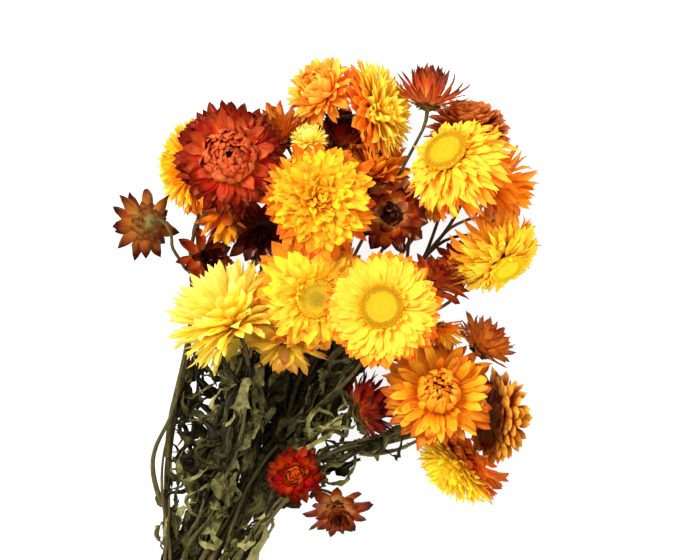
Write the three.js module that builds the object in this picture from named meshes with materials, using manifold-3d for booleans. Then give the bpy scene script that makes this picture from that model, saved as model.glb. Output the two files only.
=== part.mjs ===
// A bunch of dried strawflowers lying on a table: flower heads, their stems and side
// shoots, a few dried leaves, and the rubber band that holds the stems together.
// Millimetres, +Z up. The heads point to +Y, the cut ends to -Y, and the bunch rests on z = 0.
import * as THREE from "three";
import { mergeVertices } from "three/addons/utils/BufferGeometryUtils.js";
import Module from "manifold-3d";

// ---- Driving dimensions -------------------------------------------------------------

const STEM_RADIUS = 1.9; // a main stem where the band holds it
const STEM_TIP_RADIUS = 1.15; // the same stem just under its head
const SHOOT_RADIUS = 0.95; // a side shoot
const STEM_SPACING = 4.7; // between stem centres under the band
const GAP = 0.45; // clear air between neighbouring pieces
const STEM_SIDES = 6;
const STEM_STEPS = 22;
const SHOOT_STEPS = 9;

const BAND = { at: [-82, -178], lean: -107, thickness: 1.6, width: 7 };
const CUT_LENGTH = 46; // from the band to the cut ends
const CUT_STAGGER = [0, 5, -4, 3, -2, 6, -5]; // the ends weren't cut dead level

const BULB = 0.42; // how far a head's base lies behind its ray plane, in head radii
const RAY_NOTCH = 0.84; // the rim between two rays, in head radii

// Each form is the head's outline from its base to its top: [radius, height] in head radii.
const FORMS = {
  open: [[0.1, -BULB], [0.42, -0.24], [1, -0.17], [0.98, -0.08], [0.46, 0.1]],
  double: [[0.1, -BULB], [0.5, -0.26], [1, -0.02], [0.96, 0.06], [0.55, 0.34]],
  cup: [[0.1, -BULB], [0.36, -0.24], [1, -0.02], [0.96, 0.06], [0.36, 0.14], [0.33, 0.5]],
  brush: [[0.1, -BULB], [0.4, -0.2], [1, 0.16], [0.94, 0.26], [0.46, 0.36], [0.36, 0.8]],
  shuttle: [[0.12, -BULB], [0.5, -0.2], [0.9, 0.34], [0.8, 0.4]],
};
const FORM_TOP = { open: 0.14, double: 0.3, cup: 0.72, brush: 1.05, shuttle: 0.36 };

const COLOURS = {
  lemon: 0xf5cf26,
  gold: 0xf2a91c,
  amber: 0xe0801c,
  rust: 0xb8501c,
  ember: 0xb02c12,
  crimson: 0x7e120c,
  mahogany: 0x5a1b10,
  stem: 0x5d5230,
  leaf: 0x6c7048,
  band: 0xc9a26a,
};

// The heads that end a main stem. at is the middle of the ray plane; heading is the way the
// face looks in plan, in degrees from +X, and tilt is how far it leans from straight up.
// via lists the places that a stem passes on its way, where it doesn't go straight.
const MAIN_HEADS = [
  { name: "lemon_back_left", at: [-54, -16.5, 72], heading: 118, tilt: 104, radius: 24, form: "double", colour: "lemon" },
  { name: "ember_double", at: [-54, 55, 86], heading: 100, tilt: 10, radius: 24, form: "double", colour: "ember", via: [[-83, -104, 28], [-80, -72, 36], [-70, -38, 44]] },
  { name: "amber_top_left", at: [-12.5, 85, 70], heading: 140, tilt: 48, radius: 17, form: "double", colour: "amber" },
  { name: "gold_double", at: [-13.5, 36.5, 92], heading: 40, tilt: 12, radius: 24.5, form: "double", colour: "gold" },
  { name: "gold_disc_mid", at: [-15.5, -8, 84], heading: -45, tilt: 17, radius: 24, form: "open", colour: "gold" },
  { name: "lemon_crest_top", at: [12, 76.5, 66], heading: 15, tilt: 84, radius: 22, form: "open", colour: "lemon" },
  { name: "mahogany_mid", at: [19, 29.5, 74], heading: 150, tilt: 14, radius: 15.5, form: "cup", colour: "mahogany" },
  { name: "lemon_disc_front", at: [14.2, -12.2, 100], heading: 135, tilt: 10, radius: 26, form: "open", colour: "lemon" },
  { name: "rust_dome_top", at: [54, 72, 50], heading: 82, tilt: 80, radius: 18, form: "double", colour: "rust" },
  { name: "lemon_disc_right", at: [46.5, 53.5, 82], heading: 128, tilt: 46, radius: 24, form: "open", colour: "lemon" },
  { name: "amber_double", at: [39.8, -51, 80], heading: 90, tilt: 14, radius: 24, form: "double", colour: "amber", via: [[-44, -112, 34], [-20, -86, 46], [8, -68, 56]] },
  { name: "gold_disc_right", at: [68.5, 9.5, 66], heading: -60, tilt: 58, radius: 21.5, form: "open", colour: "gold" },
  { name: "lemon_low_right", at: [48.5, -84.5, 47], heading: -138, tilt: 84, radius: 21.5, form: "open", colour: "lemon", via: [[-44, -116, 22], [-18, -92, 32], [16, -74, 42], [44, -66, 44]] },
];

// The heads on side shoots. carrier is the main head whose stem bears the shoot, and fork
// the share of that stem's length, from the band up, at which it leaves. A twin leaves
// another shoot instead, and is one piece with it.
const SHOOT_HEADS = [
  { name: "gold_side_left", at: [-71, 52, 59], heading: 178, tilt: 66, radius: 20.5, form: "open", colour: "gold", carrier: "ember_double", fork: 0.8 },
  { name: "rust_bud_top", at: [35.5, 82.5, 74], heading: 84, tilt: 84, radius: 15.5, form: "brush", colour: "rust", carrier: "mahogany_mid", fork: 0.72 },
  { name: "gold_back_right", at: [65.5, 42, 55], heading: -18, tilt: 74, radius: 17.5, form: "open", colour: "gold", carrier: "lemon_disc_right", fork: 0.8 },
  { name: "ember_side_right", at: [38.5, -1, 74], heading: 62, tilt: 62, radius: 12, form: "cup", colour: "ember", carrier: "gold_disc_right", fork: 0.66 },
  { name: "ember_up_right", at: [50, 7, 52], heading: 100, tilt: 70, radius: 11.5, form: "cup", colour: "crimson", twin: "ember_side_right", fork: 0.4 },
  { name: "amber_hung_left", at: [-93.5, 25.5, 43], heading: 200, tilt: 150, radius: 15, form: "cup", colour: "amber", carrier: "ember_double", fork: 0.74, via: [[-77, 9, 56], [-80.5, 15, 60], [-81, 21, 62], [-84.5, 26.5, 61]] },
  { name: "mahogany_left", at: [-65.5, 10.5, 58], heading: -6, tilt: 30, radius: 12.8, form: "cup", colour: "mahogany", carrier: "ember_double", fork: 0.7 },
  { name: "amber_fan_right", at: [68.5, -61.5, 58], heading: 0, tilt: 116, radius: 20, form: "double", colour: "amber", carrier: "amber_double", fork: 0.74 },
  { name: "rust_brush_right", at: [60.5, -29.5, 58], heading: 48, tilt: 76, radius: 12.5, form: "brush", colour: "rust", carrier: "gold_disc_right", fork: 0.62 },
  { name: "crimson_low", at: [-24.5, -88, 66], heading: 160, tilt: 12, radius: 13.8, form: "cup", colour: "crimson", carrier: "amber_double", fork: 0.34 },
  { name: "mahogany_low", at: [-5.5, -104, 46], heading: -80, tilt: 48, radius: 13.8, form: "cup", colour: "mahogany", twin: "crimson_low", fork: 0.6 },
  { name: "crimson_mid_low", at: [6.5, -58, 60], heading: 18, tilt: 100, radius: 15.5, form: "cup", colour: "crimson", carrier: "lemon_disc_front", fork: 0.56 },
  { name: "amber_under_mid", at: [-28, -32, 66], heading: -95, tilt: 74, radius: 13.5, form: "cup", colour: "amber", carrier: "gold_disc_mid", fork: 0.78 },
  { name: "gold_under_front", at: [40.5, -24, 66], heading: -70, tilt: 86, radius: 12, form: "shuttle", colour: "gold", carrier: "lemon_disc_front", fork: 0.8 },
  { name: "rust_under_ember", at: [-56, 32.5, 55.5], heading: -80, tilt: 98, radius: 12.2, form: "shuttle", colour: "rust", carrier: "ember_double", fork: 0.8 },
  { name: "black_plum_mid", at: [-40, 22, 66], heading: -100, tilt: 42, radius: 13.5, form: "cup", colour: "mahogany", carrier: "gold_double", fork: 0.78 },
  { name: "rust_top_left", at: [-31, 65.5, 62], heading: 118, tilt: 58, radius: 12, form: "shuttle", colour: "rust", carrier: "amber_top_left", fork: 0.76 },
  { name: "lemon_bud_top", at: [-18.5, 63.5, 77], heading: 92, tilt: 64, radius: 9, form: "shuttle", colour: "lemon", twin: "rust_top_left", fork: 0.5 },
  { name: "plum_top_gap", at: [-3.5, 62.5, 60], heading: 96, tilt: 66, radius: 12, form: "cup", colour: "mahogany", carrier: "lemon_crest_top", fork: 0.78 },
  { name: "amber_behind_mid", at: [7.5, 49.5, 62], heading: 78, tilt: 42, radius: 12.5, form: "cup", colour: "amber", carrier: "mahogany_mid", fork: 0.76 },
  { name: "amber_small_right", at: [38, 34, 60], heading: -88, tilt: 88, radius: 9.5, form: "shuttle", colour: "amber", carrier: "lemon_disc_right", fork: 0.78 },
  { name: "rust_rest_left", at: [-64, 34, 13.4], heading: 200, tilt: 104, radius: 14, form: "double", colour: "rust", carrier: "ember_double", fork: 0.66 },
  { name: "gold_rest_top", at: [6, 62, 13.9], heading: 96, tilt: 106, radius: 16, form: "double", colour: "gold", carrier: "lemon_crest_top", fork: 0.66 },
  { name: "amber_rest_right", at: [66, 27, 13.3], heading: -10, tilt: 106, radius: 14, form: "double", colour: "amber", carrier: "lemon_disc_right", fork: 0.66 },
  { name: "lemon_rest_mid", at: [-22, 4, 10.7], heading: 232, tilt: 138, radius: 18, form: "open", colour: "lemon", carrier: "gold_disc_mid", fork: 0.62 },
  { name: "ember_rest_low", at: [42, -56, 13], heading: -50, tilt: 118, radius: 15, form: "double", colour: "ember", carrier: "lemon_low_right", fork: 0.6 },
];
const HEADS = [...MAIN_HEADS, ...SHOOT_HEADS];

// Tufts of shrivelled leaves: the stem that bears each tuft, how far up that stem it grows,
// the side it grows on (0 is the upper side, 90 the left and 180 the table side), how many
// blades it has and how long they are.
const TUFTS = [
  { name: "leaves_left_high", stem: "ember_double", along: 0.56, side: -50, blades: 6, length: 30 },
  { name: "leaves_left_mid", stem: "ember_double", along: 0.43, side: -30, blades: 6, length: 31 },
  { name: "leaves_left_low", stem: "ember_double", along: 0.3, side: -45, blades: 6, length: 30 },
  { name: "leaves_front_high", stem: "lemon_back_left", along: 0.74, side: -20, blades: 7, length: 30 },
  { name: "leaves_front_left", stem: "lemon_back_left", along: 0.48, side: 10, blades: 7, length: 31 },
  { name: "leaves_front_mid", stem: "gold_disc_mid", along: 0.62, side: 0, blades: 7, length: 32 },
  { name: "leaves_front_low", stem: "gold_disc_mid", along: 0.4, side: 0, blades: 6, length: 30 },
  { name: "leaves_right_high", stem: "lemon_disc_front", along: 0.47, side: 30, blades: 7, length: 32 },
  { name: "leaves_right_mid", stem: "amber_double", along: 0.6, side: 20, blades: 7, length: 30 },
  { name: "leaves_right_low", stem: "lemon_low_right", along: 0.4, side: -150, blades: 6, length: 28 },
];
const LEAF = { width: 8.5, thickness: 0.9, curl: 5, twist: 50, base: 0.2, lump: 1.4 };

// ---- Small helpers ------------------------------------------------------------------

const wasm = await Module();
wasm.setup();

const radians = THREE.MathUtils.degToRad;
const vector = (point) => new THREE.Vector3(...point);

// The unit vector that looks along a heading in plan, tilted away from straight up.
function facing(heading, tilt) {
  return new THREE.Vector3(
    Math.sin(radians(tilt)) * Math.cos(radians(heading)),
    Math.sin(radians(tilt)) * Math.sin(radians(heading)),
    Math.cos(radians(tilt)),
  );
}

function solid(geometry) {
  const bare = geometry.index ? geometry.toNonIndexed() : geometry.clone();
  bare.deleteAttribute("normal");
  bare.deleteAttribute("uv");
  const merged = mergeVertices(bare, 1e-3);
  return new wasm.Manifold(
    new wasm.Mesh({
      numProp: 3,
      vertProperties: merged.attributes.position.array,
      triVerts: new Uint32Array(merged.index.array),
    }),
  );
}

function geometryOf(manifold) {
  const mesh = manifold.getMesh();
  const geometry = new THREE.BufferGeometry();
  geometry.setAttribute("position", new THREE.BufferAttribute(mesh.vertProperties, 3));
  geometry.setIndex(new THREE.BufferAttribute(mesh.triVerts, 1));
  geometry.computeVertexNormals();
  return geometry;
}

function material(colour, roughness) {
  return new THREE.MeshStandardMaterial({ color: COLOURS[colour], roughness, metalness: 0 });
}

const bunch = new THREE.Group();

function addPiece(name, geometry, colour, roughness) {
  const piece = new THREE.Mesh(geometry, material(colour, roughness));
  piece.name = name;
  bunch.add(piece);
  return piece;
}

// ---- Flower heads -------------------------------------------------------------------

// A head turned about its own axis from its form's outline, with every second point of the
// rim drawn in, so that the rays show.
function headGeometry(head) {
  const segments = head.radius > 17 ? 18 : 14;
  const outline = [
    [0, -BULB],
    ...FORMS[head.form],
    [0, FORM_TOP[head.form]],
  ].map(([r, h]) => new THREE.Vector2(r * head.radius, h * head.radius));
  const geometry = new THREE.LatheGeometry(outline, segments);
  const place = geometry.attributes.position;
  for (let i = 0; i < place.count; i += 1) {
    const turn = Math.floor(i / outline.length) % segments;
    const onRim = outline[i % outline.length].x > 0.75 * head.radius;
    if (onRim && turn % 2) {
      place.setX(i, place.getX(i) * RAY_NOTCH);
      place.setZ(i, place.getZ(i) * RAY_NOTCH);
    }
  }
  const turned = new THREE.Quaternion().setFromUnitVectors(
    new THREE.Vector3(0, 1, 0),
    facing(head.heading, head.tilt),
  );
  return geometry.applyQuaternion(turned).translate(...head.at);
}

const baseOf = (head) =>
  vector(head.at).addScaledVector(facing(head.heading, head.tilt), -BULB * head.radius);

const headNamed = Object.fromEntries(HEADS.map((head) => [head.name, head]));

// ---- Where the stems run ------------------------------------------------------------

const towardCut = facing(BAND.lean, 90);
const across = new THREE.Vector3(-towardCut.y, towardCut.x, 0);

// The places under the band stand in upright columns, each half a step off its neighbour.
const COLUMNS = [2, 3, 4, 3, 1];
const placeOffset = (column, row) => [
  (column - (COLUMNS.length - 1) / 2) * STEM_SPACING * Math.sin(radians(60)),
  (row - (COLUMNS[column] - 1) / 2) * STEM_SPACING,
];
const outermost = Math.max(
  ...COLUMNS.flatMap((count, column) => [...Array(count).keys()].map((row) => Math.hypot(...placeOffset(column, row)))),
);
const bandInner = outermost + STEM_RADIUS + GAP;
const bandOuter = bandInner + BAND.thickness;
const bandCentre = vector([...BAND.at, bandOuter]);

function bandPlace(column, row) {
  const [side, height] = placeOffset(column, row);
  return bandCentre.clone().addScaledVector(across, side).add(new THREE.Vector3(0, 0, height));
}

// A stem keeps its place in the fan: the heads are taken from left to right as they are seen
// from the band, and within one column the lower head gets the lower place.
function shareOutPlaces() {
  const bearing = (head) => {
    const away = baseOf(head).sub(bandCentre);
    return away.dot(across) / away.dot(towardCut);
  };
  const order = [...MAIN_HEADS].sort((a, b) => bearing(b) - bearing(a));
  let taken = 0;
  COLUMNS.forEach((count, column) => {
    const members = order.slice(taken, taken + count);
    members.sort((a, b) => baseOf(a).z - baseOf(b).z);
    members.forEach((head, row) => {
      head.place = bandPlace(column, row);
    });
    taken += count;
  });
}
shareOutPlaces();

const ROUTE_POINTS = 36;
const SHOOT_POINTS = 14;

const bezier = (...corners) => new THREE.CubicBezierCurve3(...corners);
const smoothly = (points) => new THREE.CatmullRomCurve3(points, false, "centripetal");

function firstRoute(head) {
  const end = baseOf(head);
  const reach = end.distanceTo(head.place);
  const face = facing(head.heading, head.tilt);
  const leave = head.place.clone().addScaledVector(towardCut, -(head.via ? 0.1 : 0.42) * reach);
  const arrive = end.clone().addScaledVector(face, -Math.min(0.25 * reach, head.via ? 13 : 34));
  const curve = head.via
    ? smoothly([head.place, leave, ...head.via.map(vector), arrive, end])
    : bezier(head.place, leave, arrive, end);
  return curve.getSpacedPoints(ROUTE_POINTS - 1);
}

// Pushes a route's point sideways out of a head's own space, taken as a round-edged drum
// about its axis. A route that runs straight at the drum's face goes round its rim.
function clearOfHead(point, along, head, radius) {
  const face = facing(head.heading, head.tilt);
  const top = FORM_TOP[head.form] * head.radius;
  const low = -BULB * head.radius;
  const from = point.clone().sub(vector(head.at));
  const axial = from.dot(face) - (top + low) / 2;
  const radial = from.clone().addScaledVector(face, -from.dot(face));
  const reach = head.radius + radius + 2 * GAP;
  const half = (top - low) / 2 + radius + 2 * GAP;
  const outward = radial.length() / reach;
  const upward = axial / half;
  const inside = (outward ** 4 + upward ** 4) ** 0.25;
  if (inside >= 1) return;
  const facingIt = Math.abs(along.dot(face));
  const push = radial.normalize().multiplyScalar(outward ** 3 / reach + facingIt ** 4 / reach);
  push.addScaledVector(face, (upward ** 3 / half) * (1 - facingIt ** 4));
  push.addScaledVector(along, -push.dot(along));
  point.addScaledVector(push.normalize(), Math.min(half, reach) * (1 - inside) * 0.6);
}

// Lets the routes settle: they push each other and the heads aside, and each shares the
// shifts out along its length so that it stays smooth.
function settle(moving, fixed, rounds) {
  const everything = [...moving, ...fixed];
  for (const route of moving) route.rest = route.points.map((point) => point.clone());
  for (let round = 0; round < rounds; round += 1) {
    for (const route of moving) {
      const { points, rest, radius, owner } = route;
      const shift = (i) => points[i].clone().sub(rest[i]);
      for (let i = 2; i < points.length - 2; i += 1) {
        const shared = shift(i - 1).add(shift(i + 1)).multiplyScalar(0.5).add(rest[i]);
        const along = points[i + 1].clone().sub(points[i - 1]).normalize();
        points[i].lerp(shared, 0.35);
        for (const head of HEADS) {
          if (head.name !== owner || i < points.length - 3) clearOfHead(points[i], along, head, radius);
        }
        for (const other of everything) {
          if (other === route || (other.owner === route.from && i < 6)) continue;
          const need = (radius + other.radius + GAP) * 1.25;
          for (const near of other.points) {
            const away = points[i].clone().sub(near);
            const distance = away.length();
            if (distance < need && distance > 1e-6) {
              points[i].addScaledVector(away, (need - distance) / distance / 2);
            }
          }
        }
        points[i].z = Math.max(points[i].z, radius + 0.4);
      }
    }
  }
}

const stems = MAIN_HEADS.map((head) => ({
  owner: head.name,
  radius: STEM_RADIUS,
  points: firstRoute(head),
}));
settle(stems, [], 200);
const stemOf = Object.fromEntries(stems.map((stem) => [stem.owner, stem]));
const asFixed = (route) => ({ ...route, points: smoothly(route.points).getPoints(70) });

// A side shoot starts on its carrier's surface, on the side that its head lies. A twin
// starts inside the shoot that it leaves.
function firstShoot(head, carrier, clearance) {
  const bearer = smoothly(carrier.points);
  const fork = bearer.getPoint(head.fork);
  const along = bearer.getTangent(head.fork);
  const end = baseOf(head);
  const toward = end.clone().sub(fork);
  const sideways = toward.clone().addScaledVector(along, -toward.dot(along)).normalize();
  const start = fork.clone().addScaledVector(sideways, clearance);
  const reach = end.distanceTo(start);
  const startPull = start.clone().addScaledVector(along, 0.3 * reach).addScaledVector(sideways, 0.15 * reach);
  const face = facing(head.heading, head.tilt);
  const endPull = end.clone().addScaledVector(face, -Math.min(0.4 * reach, 22));
  const curve = head.via ? smoothly([start, ...head.via.map(vector), end]) : bezier(start, startPull, endPull, end);
  return curve.getSpacedPoints(SHOOT_POINTS - 1);
}

const shoots = SHOOT_HEADS.filter((head) => head.carrier).map((head) => ({
  owner: head.name,
  radius: SHOOT_RADIUS,
  points: firstShoot(head, stemOf[head.carrier], STEM_RADIUS + SHOOT_RADIUS + GAP),
}));
const fixedStems = stems.map(asFixed);
settle(shoots, fixedStems, 120);
const shootOf = Object.fromEntries(shoots.map((shoot) => [shoot.owner, shoot]));

const twins = SHOOT_HEADS.filter((head) => head.twin).map((head) => ({
  owner: head.name,
  from: head.twin,
  radius: SHOOT_RADIUS,
  points: firstShoot(head, shootOf[head.twin], 0),
}));
settle(twins, [...fixedStems, ...shoots.map(asFixed)], 120);

// ---- Stems and shoots as solids -----------------------------------------------------

// A tube along the route that narrows from one radius to the other.
function taperedTube(points, startRadius, endRadius, steps) {
  const path = smoothly(points);
  const round = new THREE.Shape();
  for (let i = 0; i < STEM_SIDES; i += 1) {
    const angle = (i / STEM_SIDES) * 2 * Math.PI;
    const corner = [Math.cos(angle), Math.sin(angle)];
    if (i) round.lineTo(...corner);
    else round.moveTo(...corner);
  }
  const geometry = new THREE.ExtrudeGeometry(round, { steps, extrudePath: path, bevelEnabled: false });
  const centres = path.getSpacedPoints(steps);
  const place = geometry.attributes.position;
  const point = new THREE.Vector3();
  for (let i = 0; i < place.count; i += 1) {
    point.fromBufferAttribute(place, i);
    let nearest = 0;
    centres.forEach((centre, k) => {
      if (centre.distanceToSquared(point) < centres[nearest].distanceToSquared(point)) nearest = k;
    });
    const radius = startRadius + ((endRadius - startRadius) * nearest) / steps;
    point.sub(centres[nearest]).multiplyScalar(radius).add(centres[nearest]);
    place.setXYZ(i, point.x, point.y, point.z);
  }
  return geometry;
}

function addStem(stem, index) {
  const cut = stem.points[0].clone();
  cut.addScaledVector(towardCut, CUT_LENGTH + CUT_STAGGER[index % CUT_STAGGER.length]);
  const spread = stem.points[0].clone().sub(bandCentre).multiplyScalar(0.28);
  cut.add(spread);
  const held = stem.points[0].clone().addScaledVector(towardCut, 6);
  const top = stem.points.at(-1).clone().addScaledVector(facing(headNamed[stem.owner].heading, headNamed[stem.owner].tilt), -GAP);
  const route = [cut, held, ...stem.points.slice(1, -1), top];
  addPiece(`stem_${stem.owner}`, taperedTube(route, STEM_RADIUS, STEM_TIP_RADIUS, STEM_STEPS), "stem", 0.85);
}

function shootSolid(shoot) {
  const head = headNamed[shoot.owner];
  const inside = vector(head.at).addScaledVector(facing(head.heading, head.tilt), -0.2 * head.radius);
  const tube = taperedTube([...shoot.points, inside], SHOOT_RADIUS, SHOOT_RADIUS, SHOOT_STEPS);
  return solid(tube).add(solid(headGeometry(head)));
}

function addShootHead(shoot) {
  const twin = twins.find((other) => other.from === shoot.owner);
  const piece = twin ? shootSolid(shoot).add(shootSolid(twin)) : shootSolid(shoot);
  const kind = twin ? "spray" : "head";
  addPiece(`${kind}_${shoot.owner}`, geometryOf(piece), headNamed[shoot.owner].colour, 0.7);
}

MAIN_HEADS.forEach((head) => addPiece(`head_${head.name}`, headGeometry(head), head.colour, 0.7));
stems.forEach(addStem);
shoots.forEach(addShootHead);

// ---- Leaves -------------------------------------------------------------------------

// A narrow blade along +X that widens past its base, cups, twists and droops to its point.
function bladeGeometry(length, curl, steps, strips) {
  const geometry = new THREE.BoxGeometry(length, 1, 1, steps, strips, 1);
  const place = geometry.attributes.position;
  for (let i = 0; i < place.count; i += 1) {
    const share = THREE.MathUtils.clamp(place.getX(i) / length + 0.5, 0, 1);
    const belly = Math.max(Math.sin(Math.PI * share ** 0.8), 0) ** 0.8;
    const wide = LEAF.base + (1 - LEAF.base) * belly;
    const side = place.getY(i) * LEAF.width * wide;
    const level = place.getZ(i) * LEAF.thickness + LEAF.curl * (side / LEAF.width) ** 2;
    const turn = radians(LEAF.twist) * share;
    place.setXYZ(
      i,
      share * length,
      side * Math.cos(turn) - level * Math.sin(turn),
      side * Math.sin(turn) + level * Math.cos(turn) + curl * share ** 2,
    );
  }
  return geometry;
}

// Everything that a blade has to keep clear of, besides the heads and the table.
const taken = [
  ...fixedStems,
  ...[...shoots, ...twins].map(asFixed),
].flatMap(({ points, radius }) => points.map((point) => ({ point, radius })));

function insideHead(point, head) {
  const face = facing(head.heading, head.tilt);
  const from = point.clone().sub(vector(head.at));
  const axial = from.dot(face) / head.radius;
  const radial = from.addScaledVector(face, -from.dot(face)).length() / head.radius;
  return radial < 1.06 && axial > -BULB - 0.1 && axial < FORM_TOP[head.form] + 0.12;
}

// True where a blade keeps clear of the table, the stems, the shoots and the heads.
function isClear(geometry, root) {
  const place = geometry.attributes.position;
  const point = new THREE.Vector3();
  for (let i = 0; i < place.count; i += 1) {
    point.fromBufferAttribute(place, i);
    if (point.z < 0.8) return false;
    if (HEADS.some((head) => insideHead(point, head))) return false;
    for (const other of taken) {
      if (point.distanceTo(root) < 5 && other.radius === STEM_RADIUS) continue;
      if (point.distanceTo(other.point) < other.radius + 1.1) return false;
    }
  }
  return true;
}

// Blades leave a small lump on the stem, most of them down it, each along a clear way.
function addTuft(tuft) {
  const curve = smoothly(stemOf[tuft.stem].points);
  const node = curve.getPoint(tuft.along);
  const along = curve.getTangent(tuft.along);
  const left = new THREE.Vector3(0, 0, 1).cross(along).normalize();
  const upper = along.clone().cross(left);
  const aside = (angle) => upper.clone().multiplyScalar(Math.cos(angle)).addScaledVector(left, Math.sin(angle));
  const root = node.clone().addScaledVector(aside(radians(tuft.side)), STEM_RADIUS + GAP + LEAF.lump);
  let piece = solid(new THREE.IcosahedronGeometry(LEAF.lump, 0).translate(root.x, root.y, root.z));
  const placed = [];
  for (let step = 0; step < 140 && placed.length < tuft.blades; step += 1) {
    const away = aside(radians(tuft.side + ((step * 137.5) % 190) - 95));
    const lean = radians(10 + ((step * 53) % 44));
    const way = along.clone().multiplyScalar((step % 3 ? -1 : 1) * Math.cos(lean));
    way.addScaledVector(away, Math.sin(lean));
    if (placed.some((other) => other.angleTo(way) < radians(14))) continue;
    const up = away.clone().addScaledVector(way, -away.dot(way)).normalize();
    const turned = new THREE.Matrix4().makeBasis(way, up.clone().cross(way), up).setPosition(root);
    const length = tuft.length * (0.72 + 0.28 * Math.sin(step * 2.4) ** 2);
    const curl = step % 2 ? 3 : -3;
    if (!isClear(bladeGeometry(length, curl, 20, 4).applyMatrix4(turned), root)) continue;
    piece = piece.add(solid(bladeGeometry(length, curl, 6, 2).applyMatrix4(turned)));
    placed.push(way);
  }
  const skin = piece.getMesh().vertProperties;
  for (let i = 0; i < skin.length; i += 3) {
    taken.push({ point: new THREE.Vector3(skin[i], skin[i + 1], skin[i + 2]), radius: 0.9 });
  }
  addPiece(tuft.name, geometryOf(piece), "leaf", 0.9);
}
TUFTS.forEach(addTuft);

// ---- The rubber band ----------------------------------------------------------------

function addBand() {
  const half = BAND.width / 2;
  const ring = [
    new THREE.Vector2(bandInner, -half),
    new THREE.Vector2(bandOuter, -half),
    new THREE.Vector2(bandOuter, half),
    new THREE.Vector2(bandInner, half),
    new THREE.Vector2(bandInner, -half),
  ];
  const turned = new THREE.Quaternion().setFromUnitVectors(new THREE.Vector3(0, 1, 0), towardCut);
  const geometry = new THREE.LatheGeometry(ring, 24).applyQuaternion(turned);
  addPiece("rubber_band", geometry.translate(...bandCentre.toArray()), "band", 0.6);
}
addBand();

// ---- Origin -------------------------------------------------------------------------

// The origin is the middle of the whole bunch in plan, on the table.
const extent = new THREE.Box3().setFromObject(bunch);
const middle = extent.getCenter(new THREE.Vector3());
bunch.position.set(-middle.x, -middle.y, -extent.min.z);

export default bunch;
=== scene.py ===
# %% [markdown]
# # A lying bunch of dried strawflowers
#
# This lesson builds a tied bunch of dried strawflowers in Blender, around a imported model
# that already says where every head, stem, leaf tuft and the rubber band lie. Each step
# has a text like this one, which says what the real thing is and how it could be made,
# and then short code that makes it and prints what it made.
#
# We work in millimetres, because that is how one thinks of a flower, and turn them to
# Blender's metres only when a mesh is made.

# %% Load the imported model
import math

import bpy
import numpy as np
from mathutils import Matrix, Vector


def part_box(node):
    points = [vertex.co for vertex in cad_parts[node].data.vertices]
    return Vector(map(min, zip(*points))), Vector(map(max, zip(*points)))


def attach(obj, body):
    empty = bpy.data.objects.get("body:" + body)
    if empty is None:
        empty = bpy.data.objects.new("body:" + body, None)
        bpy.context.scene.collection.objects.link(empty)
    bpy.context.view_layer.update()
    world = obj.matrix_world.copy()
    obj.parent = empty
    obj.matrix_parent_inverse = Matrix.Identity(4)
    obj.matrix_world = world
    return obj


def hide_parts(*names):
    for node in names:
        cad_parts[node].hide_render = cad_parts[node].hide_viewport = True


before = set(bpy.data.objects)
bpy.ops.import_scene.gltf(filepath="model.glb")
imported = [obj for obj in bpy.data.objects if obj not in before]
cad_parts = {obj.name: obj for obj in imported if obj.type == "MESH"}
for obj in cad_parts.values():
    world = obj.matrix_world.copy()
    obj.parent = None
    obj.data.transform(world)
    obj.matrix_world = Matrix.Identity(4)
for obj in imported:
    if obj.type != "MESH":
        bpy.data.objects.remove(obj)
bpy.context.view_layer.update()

MM = 0.001  # one millimetre in Blender's metres
print("packed nodes:", len(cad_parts))

# %% [markdown]
# ## From the drawing to the model
#
# The heads were laid out on a drawing with its zero in the middle of the flowers. The
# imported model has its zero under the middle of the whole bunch, so every place from the
# drawing has to be moved by the same amount. We don't type that shift: the rubber band's
# place on the drawing is known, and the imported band's box says where it is now.

# %% The shift from the drawing to the model
BAND_ON_DRAWING = np.array([-82.0, -178.0])


def box_of(node):
    """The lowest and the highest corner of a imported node, in mm."""
    low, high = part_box(node)
    return np.array(low) / MM, np.array(high) / MM


band_low, band_high = box_of("rubber_band")
band_middle = (band_low + band_high) / 2
SHIFT = np.array([*band_middle[:2] - BAND_ON_DRAWING, 0.0])
print("shift in mm:", SHIFT.round(2))

# %% [markdown]
# ## The camera
#
# The bunch lies on a table, and we look straight down on it, with the heads away from us.
# A long lens from three metres up keeps the heads' true shapes, as a product photographer
# does: a short lens close by would swell the heads that lie highest.

# %% The camera above the bunch
SENSOR = 36.0
VIEW_WIDTH = 315.0  # what the picture's width takes in, at the heads' height
HEADS_HEIGHT = 80.0
CAMERA_HEIGHT = 3200.0  # above the heads
SIGHT_END = 20.0  # metres, well past the floor

lens_of = bpy.data.cameras.new("camera")
lens_of.sensor_width = SENSOR
lens_of.lens = SENSOR * CAMERA_HEIGHT / VIEW_WIDTH
lens_of.clip_end = SIGHT_END
camera = bpy.data.objects.new("camera", lens_of)
camera.location = (SHIFT + [0, 0, HEADS_HEIGHT + CAMERA_HEIGHT]) * MM
bpy.context.scene.collection.objects.link(camera)
bpy.context.scene.camera = camera
print("lens in mm:", round(lens_of.lens, 1))

# %% [markdown]
# ## Colours and light
#
# A strawflower's bracts are thin, glossy and vivid. Two settings of the scene matter to
# them. The plain colour transform keeps the yellows as strong as they are, where a
# film-like one would wash them out. And light that enters a head goes from bract to bract
# many times before it comes out, which is what makes the depths of a yellow head orange
# and not grey, so we allow more bounces than usual.

# %% The colour transform and the bounces
LIGHT_BOUNCES = 9

bpy.context.scene.view_settings.view_transform = "Standard"
bpy.context.scene.cycles.diffuse_bounces = LIGHT_BOUNCES


def linear(hex_colour):
    """An sRGB hex colour as the linear RGBA that Blender's sockets take."""
    parts = [int(hex_colour[i : i + 2], 16) / 255 for i in (1, 3, 5)]
    return (*[c / 12.92 if c <= 0.04045 else ((c + 0.055) / 1.055) ** 2.4 for c in parts], 1.0)


print("a mid grey, #808080, is", [round(c, 3) for c in linear("#808080")])

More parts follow.
